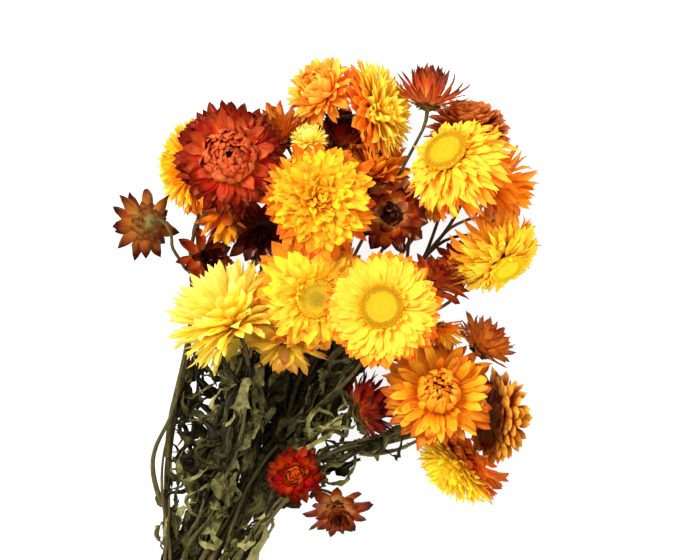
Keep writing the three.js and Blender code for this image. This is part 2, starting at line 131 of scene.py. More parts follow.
# %% [markdown]
# ## One helper for all nodes
#
# A material is a small network of nodes. Making a node, setting it up and linking it take
# several lines in Blender, so one helper does all three for every kind of node. A colour
# ramp's stops are the only setting that isn't a plain value.

# %% The helper that adds a node


def add(tree, kind, settings=None, **links):
    """Adds a node. settings are its own values, or the stops of a colour ramp. links feeds
    its sockets, each from a value, from another node's output, or from a node, which then
    gives its first output. A name like in_0 is the socket with that number."""
    node = tree.nodes.new("ShaderNode" + kind)
    for key, value in (settings or {}).items():
        if key == "stops":
            for _ in value[2:]:
                node.color_ramp.elements.new(0.5)
            for element, (place, colour) in zip(node.color_ramp.elements, value):
                element.position, element.color = place, linear(colour)
        else:
            setattr(node, key, value)
    for key, value in links.items():
        socket = node.inputs[int(key[3:]) if key.startswith("in_") else key.replace("_", " ")]
        if isinstance(value, bpy.types.Node):
            value = value.outputs[0]
        if isinstance(value, bpy.types.NodeSocket):
            tree.links.new(value, socket)
        else:
            socket.default_value = value
    return node


def new_material(name):
    """An empty material and its node tree."""
    material = bpy.data.materials.new(name)
    material.use_nodes = True
    material.node_tree.nodes.clear()
    return material, material.node_tree


print("kinds of shader node:", sum(kind.startswith("ShaderNode") for kind in dir(bpy.types)))

# %% [markdown]
# ## The floor
#
# The floor is a broad sheet of matt white paper. Paper scatters light evenly, so it has
# no gloss at all. A glow of its own stands for the light that a photographer sends up
# through the paper: it lifts the shadows under the heads and throws light back up.

# %% A sheet of white paper
FLOOR_HALF = 4.0  # metres
FLOOR_GLOW = 0.78
WHITE = linear("#ffffff")


def floor_material():
    """Matt white paper that glows."""
    material, tree = new_material("matt white paper floor")
    paper = add(tree, "BsdfDiffuse", Color=linear("#acacaa"), Roughness=0.6)
    glow = add(tree, "Emission", Color=WHITE, Strength=FLOOR_GLOW)
    both = add(tree, "AddShader", in_0=paper, in_1=glow)
    add(tree, "OutputMaterial", Surface=both)
    return material


floor_mesh = bpy.data.meshes.new("floor")
corners = [(-1, -1), (1, -1), (1, 1), (-1, 1)]
floor_mesh.from_pydata([(x * FLOOR_HALF, y * FLOOR_HALF, 0) for x, y in corners], [], [(0, 1, 2, 3)])
floor_mesh.materials.append(floor_material())
floor = bpy.data.objects.new("floor", floor_mesh)
bpy.context.scene.collection.objects.link(floor)
print("floor:", 2 * FLOOR_HALF, "metres square")

# %% [markdown]
# ## The lamps
#
# A photographer lights flowers with one very large soft lamp from the upper left, and a
# weaker one from the right so that no shadow goes black. A white room round them fills in
# the rest. The larger a lamp, the softer the edges of its shadows.

# %% Two soft lamps and a white room


def add_lamp(name, place, size, power):
    """A square soft lamp at a place in metres, turned to the bunch. power is in watts."""
    data = bpy.data.lights.new(name, "AREA")
    data.shape, data.size, data.energy = "SQUARE", size, power
    lamp = bpy.data.objects.new(name, data)
    lamp.location = place
    lamp.rotation_euler = lamp.location.to_track_quat("Z", "Y").to_euler()
    bpy.context.scene.collection.objects.link(lamp)


add_lamp("soft_key", place=(-0.9, 0.8, 1.5), size=0.8, power=45)
add_lamp("soft_fill", place=(1.3, -0.5, 1.1), size=1.4, power=12)
room = bpy.data.worlds.new("pale room")
room.use_nodes = True
room.node_tree.nodes["Background"].inputs["Color"].default_value = WHITE
room.node_tree.nodes["Background"].inputs["Strength"].default_value = 1.0
bpy.context.scene.world = room

# %% [markdown]
# ## One piece from many shapes
#
# A head is made of hundreds of shapes, but it is one piece. So its shapes are collected in
# a pile, and the pile becomes one mesh at the end. Blender is quick when a mesh is filled
# from whole arrays and slow when it is filled point by point, so a pile keeps arrays.
#
# Each point also carries four notes, which its material reads later: how far along its
# sheet it lies, how far to the side, how far in on the head its sheet is, and a number
# drawn by chance that tells one sheet from the next.

# %% A pile that collects shapes and becomes one piece
NOTES = ("share", "side", "layer", "luck")
TRIANGLES = {}  # how many each piece has


class Pile:
    """Closed shapes that become one mesh, with a material for each kind of shape."""

    def __init__(self):
        self.points, self.notes, self.faces, self.kinds, self.count = [], [], [], [], 0

    def add(self, points, notes, faces, kind=0):
        self.points.append(points)
        self.notes.append(notes)
        self.faces += [block + self.count for block in faces]
        self.kinds += [kind] * len(faces)
        self.count += len(points)

    def mesh(self, name, materials, crease):
        """The pile as a mesh. Edges sharper than crease, in degrees, stay sharp."""
        mesh = bpy.data.meshes.new(name)
        points = np.vstack(self.points) * MM
        corners = np.concatenate([block.ravel() for block in self.faces])
        sizes = np.concatenate([np.full(len(block), block.shape[1]) for block in self.faces])
        kinds = np.concatenate([np.full(len(b), k) for b, k in zip(self.faces, self.kinds)])
        mesh.vertices.add(len(points))
        mesh.vertices.foreach_set("co", points.astype(np.float32).ravel())
        mesh.loops.add(len(corners))
        mesh.loops.foreach_set("vertex_index", corners.astype(np.int32))
        mesh.polygons.add(len(sizes))
        mesh.polygons.foreach_set("loop_start", (np.cumsum(sizes) - sizes).astype(np.int32))
        mesh.polygons.foreach_set("material_index", kinds.astype(np.int32))
        mesh.update(calc_edges=True)
        for material in materials:
            mesh.materials.append(material)
        notes = np.vstack(self.notes)
        for column, note in enumerate(NOTES):
            layer = mesh.attributes.new(note, "FLOAT", "POINT")
            layer.data.foreach_set("value", notes[:, column].astype(np.float32))
        mesh.polygons.foreach_set("use_smooth", np.ones(len(sizes), bool))
        mesh.set_sharp_from_angle(angle=math.radians(crease))
        TRIANGLES[name] = int((sizes - 2).sum())
        return mesh

    def piece(self, name, materials, slot, *nodes, crease=52):
        """Turns the pile into an object that rides on the frame and stands for CAD nodes."""
        thing = bpy.data.objects.new(name, self.mesh(name, materials, crease))
        bpy.context.scene.collection.objects.link(thing)
        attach(thing, "root")
        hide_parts(*nodes)


print("notes on each point:", NOTES)

# %% [markdown]
# ## Thin closed sheets
#
# Nearly everything in the bunch is a thin sheet: the papery bracts that look like petals,
# the scales behind them, and the shrivelled leaves. A real one is 0.1 to 0.3 mm thick. A
# single layer of faces would render, but it has no inside, so it can't be printed or
# weighed. We give each sheet an upper and a lower layer that share their rim, like a
# flattened seed: it is closed, and it costs no extra faces along the edge.
#
# There are thousands of sheets, so we don't make them one by one. One numpy array holds
# the middle surface of all the sheets of a head, and its normals push the two layers
# apart.

# %% Sheets with an upper and a lower layer
FLOOR_CLEAR = 0.35  # a sheet's middle stays this high, so that nothing sinks in the table


def unit(vectors):
    """Vectors brought to length 1."""
    return vectors / np.maximum(np.linalg.norm(vectors, axis=-1, keepdims=True), 1e-9)


def add_sheets(pile, surface, thickness, notes, kind=0):
    """Adds thin closed sheets. surface is (sheets, steps along, steps across, xyz) and
    notes holds the four notes of each of its points."""
    surface[..., 2] = np.maximum(surface[..., 2], FLOOR_CLEAR)
    sheets, rows, columns = surface.shape[:3]
    normal = unit(np.cross(np.gradient(surface, axis=1), np.gradient(surface, axis=2)))
    half = (normal * thickness / 2)[:, 1:-1, 1:-1]
    top = surface.copy()
    top[:, 1:-1, 1:-1] += half
    low = surface[:, 1:-1, 1:-1] - half
    upper = np.arange(rows * columns).reshape(rows, columns)
    lower = upper.copy()
    lower[1:-1, 1:-1] = upper.size + np.arange(low[0, ..., 0].size).reshape(rows - 2, columns - 2)
    squares = [
        np.stack([g[:-1, :-1], g[1:, :-1], g[1:, 1:], g[:-1, 1:]], -1).reshape(-1, 4)
        for g in (upper, lower)
    ]
    one = np.vstack([squares[0], squares[1][:, ::-1]])
    points = np.concatenate([top.reshape(sheets, -1, 3), low.reshape(sheets, -1, 3)], 1)
    inner_notes = notes[:, 1:-1, 1:-1].reshape(sheets, -1, 4)
    marks = np.concatenate([notes.reshape(sheets, -1, 4), inner_notes], 1)
    faces = one[None] + (np.arange(sheets) * points.shape[1])[:, None, None]
    pile.add(points.reshape(-1, 3), marks.reshape(-1, 4), [faces.reshape(-1, 4)], kind)


square = np.stack([*np.meshgrid([0.0, 1, 2], [0.0, 1, 2], indexing="ij"), np.ones((3, 3))], -1)[None]
trial = Pile()
add_sheets(trial, square, 0.2, np.zeros((1, 3, 3, 4)))
print("a sheet of 3 by 3 points has", trial.count, "points and", len(trial.faces[0]), "faces")

# %% [markdown]
# ## How a head's bracts change
#
# A strawflower's "petals" are bracts: dry, papery scales that grow in a spiral around the
# true flowers, as on a pine cone. Each next bract stands about 137.5 degrees further
# round than the last. The outermost are the oldest, and they bend out or even back; each
# further in is younger, shorter and more upright, and the innermost still close over the
# middle. So a whole head follows from a spiral and a short table of how a bract changes
# from the outside to the inside. We write such a table for each habit of head.
#
# Lengths are in head radii, and slopes are in degrees up from the ray plane, the plane
# that the bracts spread in. The columns stand for bracts from the outermost to the
# innermost, and `at` says how far in each column stands, from 0 to 1. A bract starts at
# `reach` from the axis and at the height `rise`, and its midrib starts at `slope` and
# finishes at `end`. `hollow` is how much it is cupped across, `peak` is where along it is
# widest, `point` is how drawn out its tip is, and `wild` is how unevenly it dried. `disc`
# is the radius of the cushion of florets, and `lift` its height.

# %% Open heads, with a cushion of florets
HABITS = {
    "disc": dict(
        count=255, hollow=0.2, peak=0.58, point=0.8, wild=0.65, disc=0.37, lift=0.0,
        at=(0, 0.12, 0.3, 0.6, 0.84, 0.9, 1), reach=(0.2, 0.27, 0.31, 0.34, 0.36, 0.37, 0.375),
        rise=(-0.17, -0.13, -0.09, -0.05, -0.02, 0.02, 0.06),
        length=(0.84, 0.76, 0.66, 0.56, 0.44, 0.16, 0.1), width=(0.27, 0.24, 0.21, 0.18, 0.14, 0.08, 0.05),
        slope=(-3, 3, 6, 10, 14, 40, 50), end=(-18, -12, -5, 0, 6, 66, 80)),
    "shaggy": dict(
        count=210, hollow=0.3, peak=0.55, point=0.85, wild=1.3, disc=0.37, lift=0.0,
        at=(0, 0.18, 0.4, 0.7, 0.82, 0.88, 1), reach=(0.2, 0.26, 0.32, 0.36, 0.375, 0.38, 0.385),
        rise=(-0.2, -0.14, -0.08, -0.03, 0, 0.02, 0.05), length=(0.92, 0.88, 0.72, 0.5, 0.4, 0.26, 0.18),
        width=(0.35, 0.32, 0.24, 0.16, 0.12, 0.08, 0.06), slope=(-4, 5, 12, 18, 30, 56, 70),
        end=(-32, -20, -8, 2, 20, 80, 120)),
    "ragged": dict(
        count=310, hollow=0.35, peak=0.55, point=0.85, wild=1.8, disc=0.42, lift=0.28,
        at=(0, 0.15, 0.4, 0.7, 0.84, 0.9, 1), reach=(0.2, 0.28, 0.35, 0.39, 0.41, 0.415, 0.42),
        rise=(-0.1, 0.0, 0.1, 0.2, 0.26, 0.3, 0.34), length=(0.72, 0.72, 0.68, 0.5, 0.36, 0.16, 0.1),
        width=(0.19, 0.17, 0.15, 0.125, 0.11, 0.07, 0.05), slope=(-14, -4, 0, 8, 16, 40, 50),
        end=(-66, -54, -44, -30, -10, 64, 80)),
    "frayed": dict(
        count=300, hollow=0.4, peak=0.55, point=0.85, wild=1.5, disc=0.38, lift=0.24,
        at=(0, 0.15, 0.4, 0.7, 0.84, 0.9, 1), reach=(0.16, 0.24, 0.32, 0.37, 0.385, 0.39, 0.395),
        rise=(-0.26, -0.14, 0.0, 0.14, 0.22, 0.27, 0.31), length=(0.86, 0.82, 0.72, 0.52, 0.36, 0.18, 0.12),
        width=(0.2, 0.17, 0.15, 0.135, 0.12, 0.07, 0.05), slope=(-4, 4, 8, 14, 20, 44, 50),
        end=(-50, -38, -28, -16, 0, 64, 80)),
}
print("open heads:", {name: habit["count"] for name, habit in HABITS.items()})

# %% [markdown]
# Full heads have bracts up to the middle. In the domed, rolled, hooded and rosette ones
# the inner bracts stand up and bend over the middle, so they end well past 90 degrees.

# %% Full heads, with bracts to the middle
FULL_HABITS = {
    "fan": dict(
        count=230, hollow=0.28, peak=0.6, point=0.7, wild=0.8, disc=0,
        at=(0, 0.15, 0.4, 0.7, 1), reach=(0.14, 0.22, 0.28, 0.22, 0.03),
        rise=(-0.36, -0.26, -0.14, -0.04, 0.02), length=(0.84, 0.94, 1.04, 1.04, 0.9),
        width=(0.2, 0.22, 0.22, 0.2, 0.14), slope=(-24, -2, 22, 52, 84), end=(-46, -22, 8, 44, 84)),
    "crest": dict(
        count=360, hollow=0.34, peak=0.55, point=0.62, wild=0.8, disc=0,
        at=(0, 0.12, 0.18, 0.24, 0.7, 1), reach=(0.18, 0.26, 0.3, 0.32, 0.22, 0.02),
        rise=(-0.26, -0.16, -0.1, -0.08, 0.0, 0.05), length=(0.86, 0.84, 0.8, 0.8, 0.74, 0.66),
        width=(0.3, 0.3, 0.26, 0.15, 0.128, 0.1), slope=(-14, 0, 8, 12, 50, 84),
        end=(-24, -12, -6, -12, 26, 74)),
    "domed": dict(
        count=240, hollow=0.45, peak=0.58, point=0.8, wild=1.0, disc=0,
        at=(0, 0.16, 0.4, 0.58, 0.62, 0.76, 0.88, 1), reach=(0.22, 0.27, 0.31, 0.36, 0.47, 0.42, 0.3, 0.12),
        rise=(-0.18, -0.13, -0.08, -0.03, 0.0, 0.05, 0.1, 0.12),
        length=(0.76, 0.76, 0.68, 0.52, 0.46, 0.42, 0.34, 0.26),
        width=(0.21, 0.22, 0.22, 0.22, 0.23, 0.21, 0.17, 0.13), slope=(-4, 6, 14, 26, 70, 78, 80, 84),
        end=(-12, -4, 4, 20, 124, 144, 150, 140)),
    "rolled": dict(
        count=185, hollow=0.5, peak=0.55, point=0.6, wild=1.35, disc=0,
        at=(0, 0.15, 0.56, 0.6, 0.82, 1), reach=(0.2, 0.26, 0.34, 0.41, 0.34, 0.1),
        rise=(-0.18, -0.11, -0.03, 0.0, 0.02, 0.08), length=(0.86, 0.8, 0.6, 0.58, 0.48, 0.3),
        width=(0.22, 0.21, 0.18, 0.125, 0.11, 0.09), slope=(-2, 8, 24, 76, 80, 86),
        end=(-14, -4, 14, 150, 158, 140)),
    "ruffled": dict(
        count=310, hollow=0.3, peak=0.6, point=0.65, wild=1.8, disc=0,
        at=(0, 0.12, 0.35, 0.65, 0.88, 1), reach=(0.2, 0.27, 0.32, 0.33, 0.18, 0.02),
        rise=(-0.2, -0.14, -0.07, 0.0, 0.05, 0.06), length=(0.84, 0.76, 0.64, 0.5, 0.36, 0.26),
        width=(0.22, 0.21, 0.19, 0.16, 0.14, 0.1), slope=(-4, 4, 14, 28, 50, 82),
        end=(-20, -12, -2, 14, 60, 110)),
    "hooded": dict(
        count=120, hollow=0.45, peak=0.5, point=0.85, wild=1.0, disc=0,
        at=(0, 0.2, 0.45, 0.6, 0.8, 1), reach=(0.2, 0.26, 0.32, 0.34, 0.26, 0.06),
        rise=(-0.24, -0.14, -0.04, 0.0, 0.03, 0.05), length=(0.86, 0.84, 0.78, 0.76, 0.7, 0.5),
        width=(0.26, 0.28, 0.3, 0.32, 0.3, 0.2), slope=(-8, 8, 32, 56, 70, 84),
        end=(-20, -4, 46, 108, 124, 120)),
    "shingled": dict(
        count=125, hollow=0.42, peak=0.6, point=0.6, wild=0.55, disc=0,
        at=(0, 0.3, 0.7, 1), reach=(0.3, 0.36, 0.3, 0.05), rise=(-0.24, -0.08, 0.1, 0.2),
        length=(0.7, 0.6, 0.46, 0.3), width=(0.3, 0.33, 0.32, 0.24), slope=(-8, 22, 58, 84),
        end=(-14, 16, 66, 96)),
    "rosette": dict(
        count=60, hollow=0.4, peak=0.5, point=0.85, wild=0.9, disc=0,
        at=(0, 0.22, 0.45, 0.62, 0.8, 1), reach=(0.16, 0.2, 0.24, 0.28, 0.22, 0.06),
        rise=(-0.2, -0.12, -0.04, 0, 0.06, 0.1), length=(0.88, 0.8, 0.62, 0.42, 0.36, 0.3),
        width=(0.36, 0.36, 0.34, 0.3, 0.24, 0.16), slope=(2, 16, 34, 58, 74, 84),
        end=(-8, 6, 26, 104, 136, 150)),
}
HABITS.update(FULL_HABITS)
print("full heads:", {name: habit["count"] for name, habit in FULL_HABITS.items()})

# %% [markdown]
# The small heads were picked young or dried half shut. They have fewer bracts, most of
# them wide for the head's size and steep. The head that turns its back to us at the lower
# right has a table for the look from behind: wide, round bracts in even rows.

# %% Small and half closed heads, and a head whose back shows
SMALL_HABITS = {
    "scalloped": dict(
        count=130, hollow=0.3, peak=0.7, point=0.5, wild=0.45, disc=0,
        at=(0, 0.3, 0.6, 1), reach=(0.16, 0.22, 0.26, 0.2), rise=(-0.36, -0.26, -0.16, 0),
        length=(0.5, 0.68, 0.88, 0.74), width=(0.26, 0.28, 0.28, 0.22), slope=(12, 8, 4, 40),
        end=(2, -2, -4, 50)),
    "star": dict(
        count=38, hollow=0.45, peak=0.45, point=0.95, wild=1.0, disc=0,
        at=(0, 0.28, 0.42, 0.6, 1), reach=(0.16, 0.2, 0.2, 0.14, 0.03), rise=(-0.22, -0.12, -0.06, 0, 0.02),
        length=(0.88, 0.84, 0.72, 0.56, 0.46), width=(0.38, 0.38, 0.32, 0.22, 0.14),
        slope=(6, 22, 46, 78, 88), end=(-8, 8, 40, 100, 100)),
    "spoon": dict(
        count=48, hollow=0.6, peak=0.52, point=0.75, wild=0.9, disc=0,
        at=(0, 0.35, 0.55, 0.68, 1), reach=(0.24, 0.3, 0.32, 0.22, 0.05), rise=(-0.2, -0.1, -0.02, 0, 0.04),
        length=(0.84, 0.76, 0.6, 0.5, 0.42), width=(0.44, 0.42, 0.34, 0.22, 0.12),
        slope=(14, 32, 54, 78, 88), end=(-8, 12, 44, 100, 96)),
    "goblet": dict(
        count=72, hollow=0.5, peak=0.45, point=0.95, wild=0.9, disc=0,
        at=(0, 0.36, 0.46, 0.82, 1), reach=(0.1, 0.14, 0.26, 0.2, 0.05),
        rise=(-0.3, -0.22, -0.14, -0.02, 0.02), length=(1.25, 1.2, 1.02, 1.0, 0.7),
        width=(0.15, 0.16, 0.28, 0.26, 0.18), slope=(14, 28, 56, 70, 86), end=(26, 44, 98, 104, 104)),
    "brush": dict(
        count=60, hollow=0.45, peak=0.6, point=0.8, wild=1.0, disc=0,
        at=(0, 0.35, 0.6, 1), reach=(0.16, 0.2, 0.2, 0.06), rise=(-0.28, -0.16, -0.06, 0.02),
        length=(0.96, 1.1, 1.12, 0.96), width=(0.32, 0.32, 0.28, 0.18), slope=(6, 30, 52, 84),
        end=(-8, 20, 48, 86)),
    "lily": dict(
        count=36, hollow=0.5, peak=0.52, point=0.78, wild=0.9, disc=0,
        at=(0, 0.3, 0.6, 1), reach=(0.14, 0.18, 0.16, 0.03), rise=(-0.26, -0.16, -0.04, 0.02),
        length=(1.25, 1.2, 1.0, 0.7), width=(0.48, 0.46, 0.38, 0.2), slope=(6, 26, 56, 86),
        end=(-10, 12, 56, 98)),
    "shuttle": dict(
        count=64, hollow=0.42, peak=0.5, point=0.9, wild=1.0, disc=0,
        at=(0, 0.3, 0.6, 1), reach=(0.16, 0.22, 0.2, 0.05), rise=(-0.28, -0.16, -0.06, 0.02),
        length=(0.86, 0.98, 0.98, 0.72), width=(0.3, 0.3, 0.26, 0.16), slope=(8, 28, 52, 84),
        end=(14, 38, 70, 96)),
}
HABITS.update(SMALL_HABITS)
print("small heads:", {name: habit["count"] for name, habit in SMALL_HABITS.items()})

# %% [markdown]
# ## A bract's own measures
#
# No two bracts dried alike. Each takes its measures from the table and then differs from
# them by chance, a little in length and width and more in how it bends. One in ten has a
# tip that curls up hard. All the draws of a head come from one seeded generator, so the
# same head grows each time.

# %% Every bract's draw
GOLDEN_TURN = math.radians(137.508)
SPIRAL = ("reach", "rise", "length", "width", "slope", "end")
# How far bracts stray from their table: shares of length and width, degrees of slope and
# end, radians of turn, tip and twist, and bract lengths of sideways bend.
STRAY = dict(turn=0.07, length=0.06, width=0.1, slope=4, end=9, tip=0.45, sideways=0.07, twist=0.3)
CURLED_SHARE, CURL = 0.1, 1.6


def draw_bracts(habit, count, rng, lean):
    """The measures of each of a head's bracts, from the outermost inwards, in head radii
    and radians. lean is the side whose bracts are longer, in degrees, and by what share."""
    wild = habit["wild"]
    layer = (np.arange(count) + 0.5) / count
    own = {key: np.interp(layer, habit["at"], habit[key]) for key in SPIRAL}
    own["layer"] = layer
    own["turn"] = np.arange(count) * GOLDEN_TURN + rng.normal(0, STRAY["turn"], count)
    own["length"] = own["length"] * (1 + rng.normal(0, STRAY["length"], count) * wild)
    own["length"] *= 1 + lean[1] * np.cos(own["turn"] - math.radians(lean[0]))
    own["width"] = own["width"] / 2 * (1 + rng.normal(0, STRAY["width"], count))
    own["slope"] = np.radians(own["slope"] + rng.normal(0, STRAY["slope"], count) * wild)
    own["end"] = np.radians(own["end"] + rng.normal(0, STRAY["end"], count) * wild)
    own["tip"] = rng.normal(0, STRAY["tip"], count) * wild
    own["tip"] += rng.choice([0, CURL], count, p=[1 - CURLED_SHARE, CURLED_SHARE]) * wild
    own["sideways"] = rng.normal(0, STRAY["sideways"], count) * wild
    own["twist"] = rng.normal(0, STRAY["twist"], count) * wild
    phase = rng.uniform(0, 2 * math.pi, (3, count, 1, 1))
    own["luck"] = rng.uniform(0, 1, count)
    return own, phase


test, _ = draw_bracts(HABITS["ruffled"], 5, np.random.default_rng(1), (0, 0))
print("five bracts' lengths from the outside in, in head radii:", test["length"].round(2))

# %% [markdown]
# ## A bract's shape
#
# A bract is a lance-shaped sheet. Its midrib starts at one slope and ends at another, and
# it bends most in its outer half. It is hollow across like a spoon, it has a few
# lengthwise pleats, its edges ripple, and drying has bent and twisted every one in its
# own way. We lay out all the bracts of a head at once, on a grid of points along and
# across: first flat along the midrib, then lifted off it, then rolled about it, and
# last turned to its own place in the spiral.

# %% A bract's outline and its midrib
BASE_WIDTH = 0.42  # of the widest
TIP_HALF = 0.004  # what is left of half a bract's width at its very tip, in head radii


def outline(share, peak, point):
    """Half a bract's width along its length, and 1 at its widest, which is at peak. A
    point of 0.5 gives a round tip, and one of 1 or more a tip that is drawn out."""
    rising = BASE_WIDTH + (1 - BASE_WIDTH) * np.sin(0.5 * math.pi * np.minimum(share / peak, 1)) ** 1.3
    return rising * np.maximum(1 - (np.maximum(share - peak, 0) / (1 - peak)) ** 2, 0) ** point


def midrib(share, slope, end, tip):
    """How far out and up a midrib of length 1 goes, and its slope on the way, in radians."""
    angle = slope + (end - slope) * share**1.4 + tip * share**7
    step = np.diff(share, axis=1)
    middle = (angle[:, 1:] + angle[:, :-1]) / 2
    start = np.zeros((len(angle), 1))
    out = np.concatenate([start, np.cumsum(np.cos(middle) * step, 1)], 1)
    up = np.concatenate([start, np.cumsum(np.sin(middle) * step, 1)], 1)
    return out, up, angle


print("a round tip's half width near its end:", outline(np.array([0.9]), 0.6, 0.5).round(2))

# %% All the bracts of a head at once
# How high each kind of unevenness is, in half widths of a bract. A wave is in head radii.
PLEAT, RIPPLE, CRINKLE, FRAY, WAVE = 0.07, 0.16, 0.09, 0.06, 0.02


def uneven_lift(v, s, own, phase, habit, rng):
    """How far a bract's face lies off the plane of its midrib, in half widths."""
    wild = habit["wild"]
    lift = habit["hollow"] * v**2 * (1 - 0.45 * s)
    lift = lift + PLEAT * np.cos(4.2 * v + phase[0]) * (0.3 + s)
    lift = lift + RIPPLE * wild * v * np.abs(v) * s * np.sin(9 * s + phase[1])
    crinkle = rng.normal(0, 1, (len(own["layer"]), s.shape[1], v.shape[2]))
    return lift + CRINKLE * wild * crinkle * np.minimum(1, 3 * s)


def bract_surfaces(habit, count, steps, rng, lean=(0, 0)):
    """The middle surfaces of a head's bracts in head radii, with its axis along +Z, and
    their notes. lean is the side that grows longer, and by how much."""
    own, phase = draw_bracts(habit, count, rng, lean)
    wild, (rows, columns) = habit["wild"], steps
    column = {key: values[:, None] for key, values in own.items()}
    share = np.tile(np.linspace(0, 1, rows + 1), (count, 1))
    across = np.linspace(-1, 1, columns + 1)
    out, up, angle = midrib(share, column["slope"], column["end"], column["tip"])
    half = column["width"] * outline(share, habit["peak"], habit["point"]) + TIP_HALF
    radial = column["reach"] + out * column["length"]
    axial = column["rise"] + up * column["length"]
    roll = (column["twist"] * share)[:, :, None]

    s, v, w = share[:, :, None], across[None, None], half[:, :, None]
    lift = uneven_lift(v, s, own, phase, habit, rng) * w
    v = v * (1 + FRAY * wild * rng.normal(0, 1, (count, rows + 1, columns + 1)) * np.abs(v))
    bend = (column["sideways"] * column["length"])[:, :, None] * s**2
    bend = bend + WAVE * wild * np.sin(5 * s + phase[2]) * s
    aside = v * w * np.cos(roll) - lift * np.sin(roll) + bend
    lift = v * w * np.sin(roll) + lift * np.cos(roll)
    r = radial[:, :, None] - lift * np.sin(angle)[:, :, None]
    z = axial[:, :, None] + lift * np.cos(angle)[:, :, None]
    c, d = np.cos(own["turn"])[:, None, None], np.sin(own["turn"])[:, None, None]
    surface = np.stack([r * c - aside * d, r * d + aside * c, z], -1)
    marks = (s, across[None, None], column["layer"][:, :, None], column["luck"][:, :, None])
    return surface, np.stack(np.broadcast_arrays(*marks), -1)


test, _ = bract_surfaces(HABITS["ruffled"], 5, (8, 4), np.random.default_rng(1))
print("one bract is", np.ptp(test[0].reshape(-1, 3), axis=0).round(2), "head radii")

# %% [markdown]
# ## The middle of a head
#
# An open strawflower shows its true flowers: hundreds of tiny yellow tubes, packed in the
# same spiral as the bracts. They form a cushion with a raised, greener rim, where the
# outermost have opened. Each is less than a millimetre across, so a small pointed dome is
# enough. A dome has five sides, which is what a floret's five lobes look like from above.

# %% Florets are small pointed domes
DOME_SIDES = 5


def add_domes(pile, centres, normals, sizes, heights, notes, kind):
    """Adds small closed pointed domes, each standing on its own place along its normal."""
    sides = DOME_SIDES
    helper = np.where(np.abs(normals[:, 2:]) < 0.9, [[0, 0, 1.0]], [[1.0, 0, 0]])
    u = unit(np.cross(helper, normals))
    w = np.cross(normals, u)
    angle = np.arange(sides) / sides * 2 * math.pi
    ring = np.cos(angle)[None, :, None] * u[:, None] + np.sin(angle)[None, :, None] * w[:, None]
    ring = ring * sizes[:, None, None]
    rise = normals * heights[:, None]
    low = centres[:, None] + ring - rise[:, None] * 0.5
    mid = centres[:, None] + ring * 0.86 + rise[:, None] * 0.4
    top = (centres + rise)[:, None]
    foot = (centres - rise * 0.6)[:, None]
    points = np.concatenate([low, mid, top, foot], 1)
    k = np.arange(sides)
    n = (k + 1) % sides
    walls = np.stack([k, n, n + sides, k + sides], 1)
    tips = np.stack([k + sides, n + sides, np.full(sides, 2 * sides)], 1)
    feet = np.stack([n, k, np.full(sides, 2 * sides + 1)], 1)
    jump = (np.arange(len(centres)) * (2 * sides + 2))[:, None, None]
    faces = [(block[None] + jump).reshape(-1, block.shape[1]) for block in (walls, tips, feet)]
    pile.add(points.reshape(-1, 3), np.repeat(notes, 2 * sides + 2, 0), faces, kind)


print("a floret has", 2 * DOME_SIDES + 2, "points")

# %% Where the florets stand on their cushion
FLORETS = 420
FLORET_SIZE = 0.054  # a floret's radius as a share of the cushion's
RIM_HEIGHT, RIM_AT, RIM_HALF = 0.045, 0.84, 0.14  # the first in head radii
PLATEAU_HEIGHT, PLATEAU_HALF = 0.03, 0.5
OPEN_FROM = 0.72  # florets further out than this have opened, and stand higher


def floret_places(size, lift, rng):
    """Places, normals, sizes and notes of an open head's florets, in head radii. The
    cushion has a raised rim, and a lower plateau inside it."""
    part = np.sqrt((np.arange(FLORETS) + 0.5) / FLORETS)
    turn = np.arange(FLORETS) * GOLDEN_TURN
    rim = RIM_HEIGHT * np.exp(-(((part - RIM_AT) / RIM_HALF) ** 2))
    plateau = PLATEAU_HEIGHT * np.exp(-((part / PLATEAU_HALF) ** 2))
    height = lift + 0.06 + rim + plateau
    places = np.stack([size * part * np.cos(turn), size * part * np.sin(turn), height], 1)
    tilt = 2.4 * np.clip(part - 0.86, -0.2, 1)
    normals = unit(np.stack([np.cos(turn) * tilt, np.sin(turn) * tilt, np.ones(FLORETS)], 1))
    sizes = np.full(FLORETS, size * FLORET_SIZE)
    heights = size * (0.05 + 0.06 * (part > OPEN_FROM)) * rng.uniform(0.8, 1.2, FLORETS)
    notes = np.stack([part, np.zeros(FLORETS), part, rng.uniform(0, 1, FLORETS)], 1)
    return places, normals, sizes, heights, notes


places, *_ = floret_places(HABITS["disc"]["disc"], 0, np.random.default_rng(1))
print(FLORETS, "florets on a cushion", np.ptp(places[:, 0]).round(2), "head radii across")

# %% [markdown]
# ## Knob and cushion
#
# Under the bracts lies the receptacle, the woody knob that carries everything, and on an
# open head the cushion sits on it. Both are round, so each could be turned on a lathe: a
# profile swept round the axis gives it, and costs far fewer points than a sculpted lump.

# %% A body of revolution
# Profiles from the foot to the top, as pairs of radius and height in head radii. Only the
# cushion's radii are in its own radius.
CUSHION = [
    (0, -0.05), (0.9, -0.04), (1.02, 0.03), (0.97, 0.08),
    (0.84, 0.1), (0.6, 0.07), (0.3, 0.08), (0, 0.09),
]
KNOB = [
    (0, -0.44), (0.1, -0.42), (0.2, -0.36), (0.3, -0.26),
    (0.34, -0.14), (0.3, -0.02), (0.2, 0.05), (0, 0.07),
]
KNOB_SIDES, CUSHION_SIDES = 20, 28


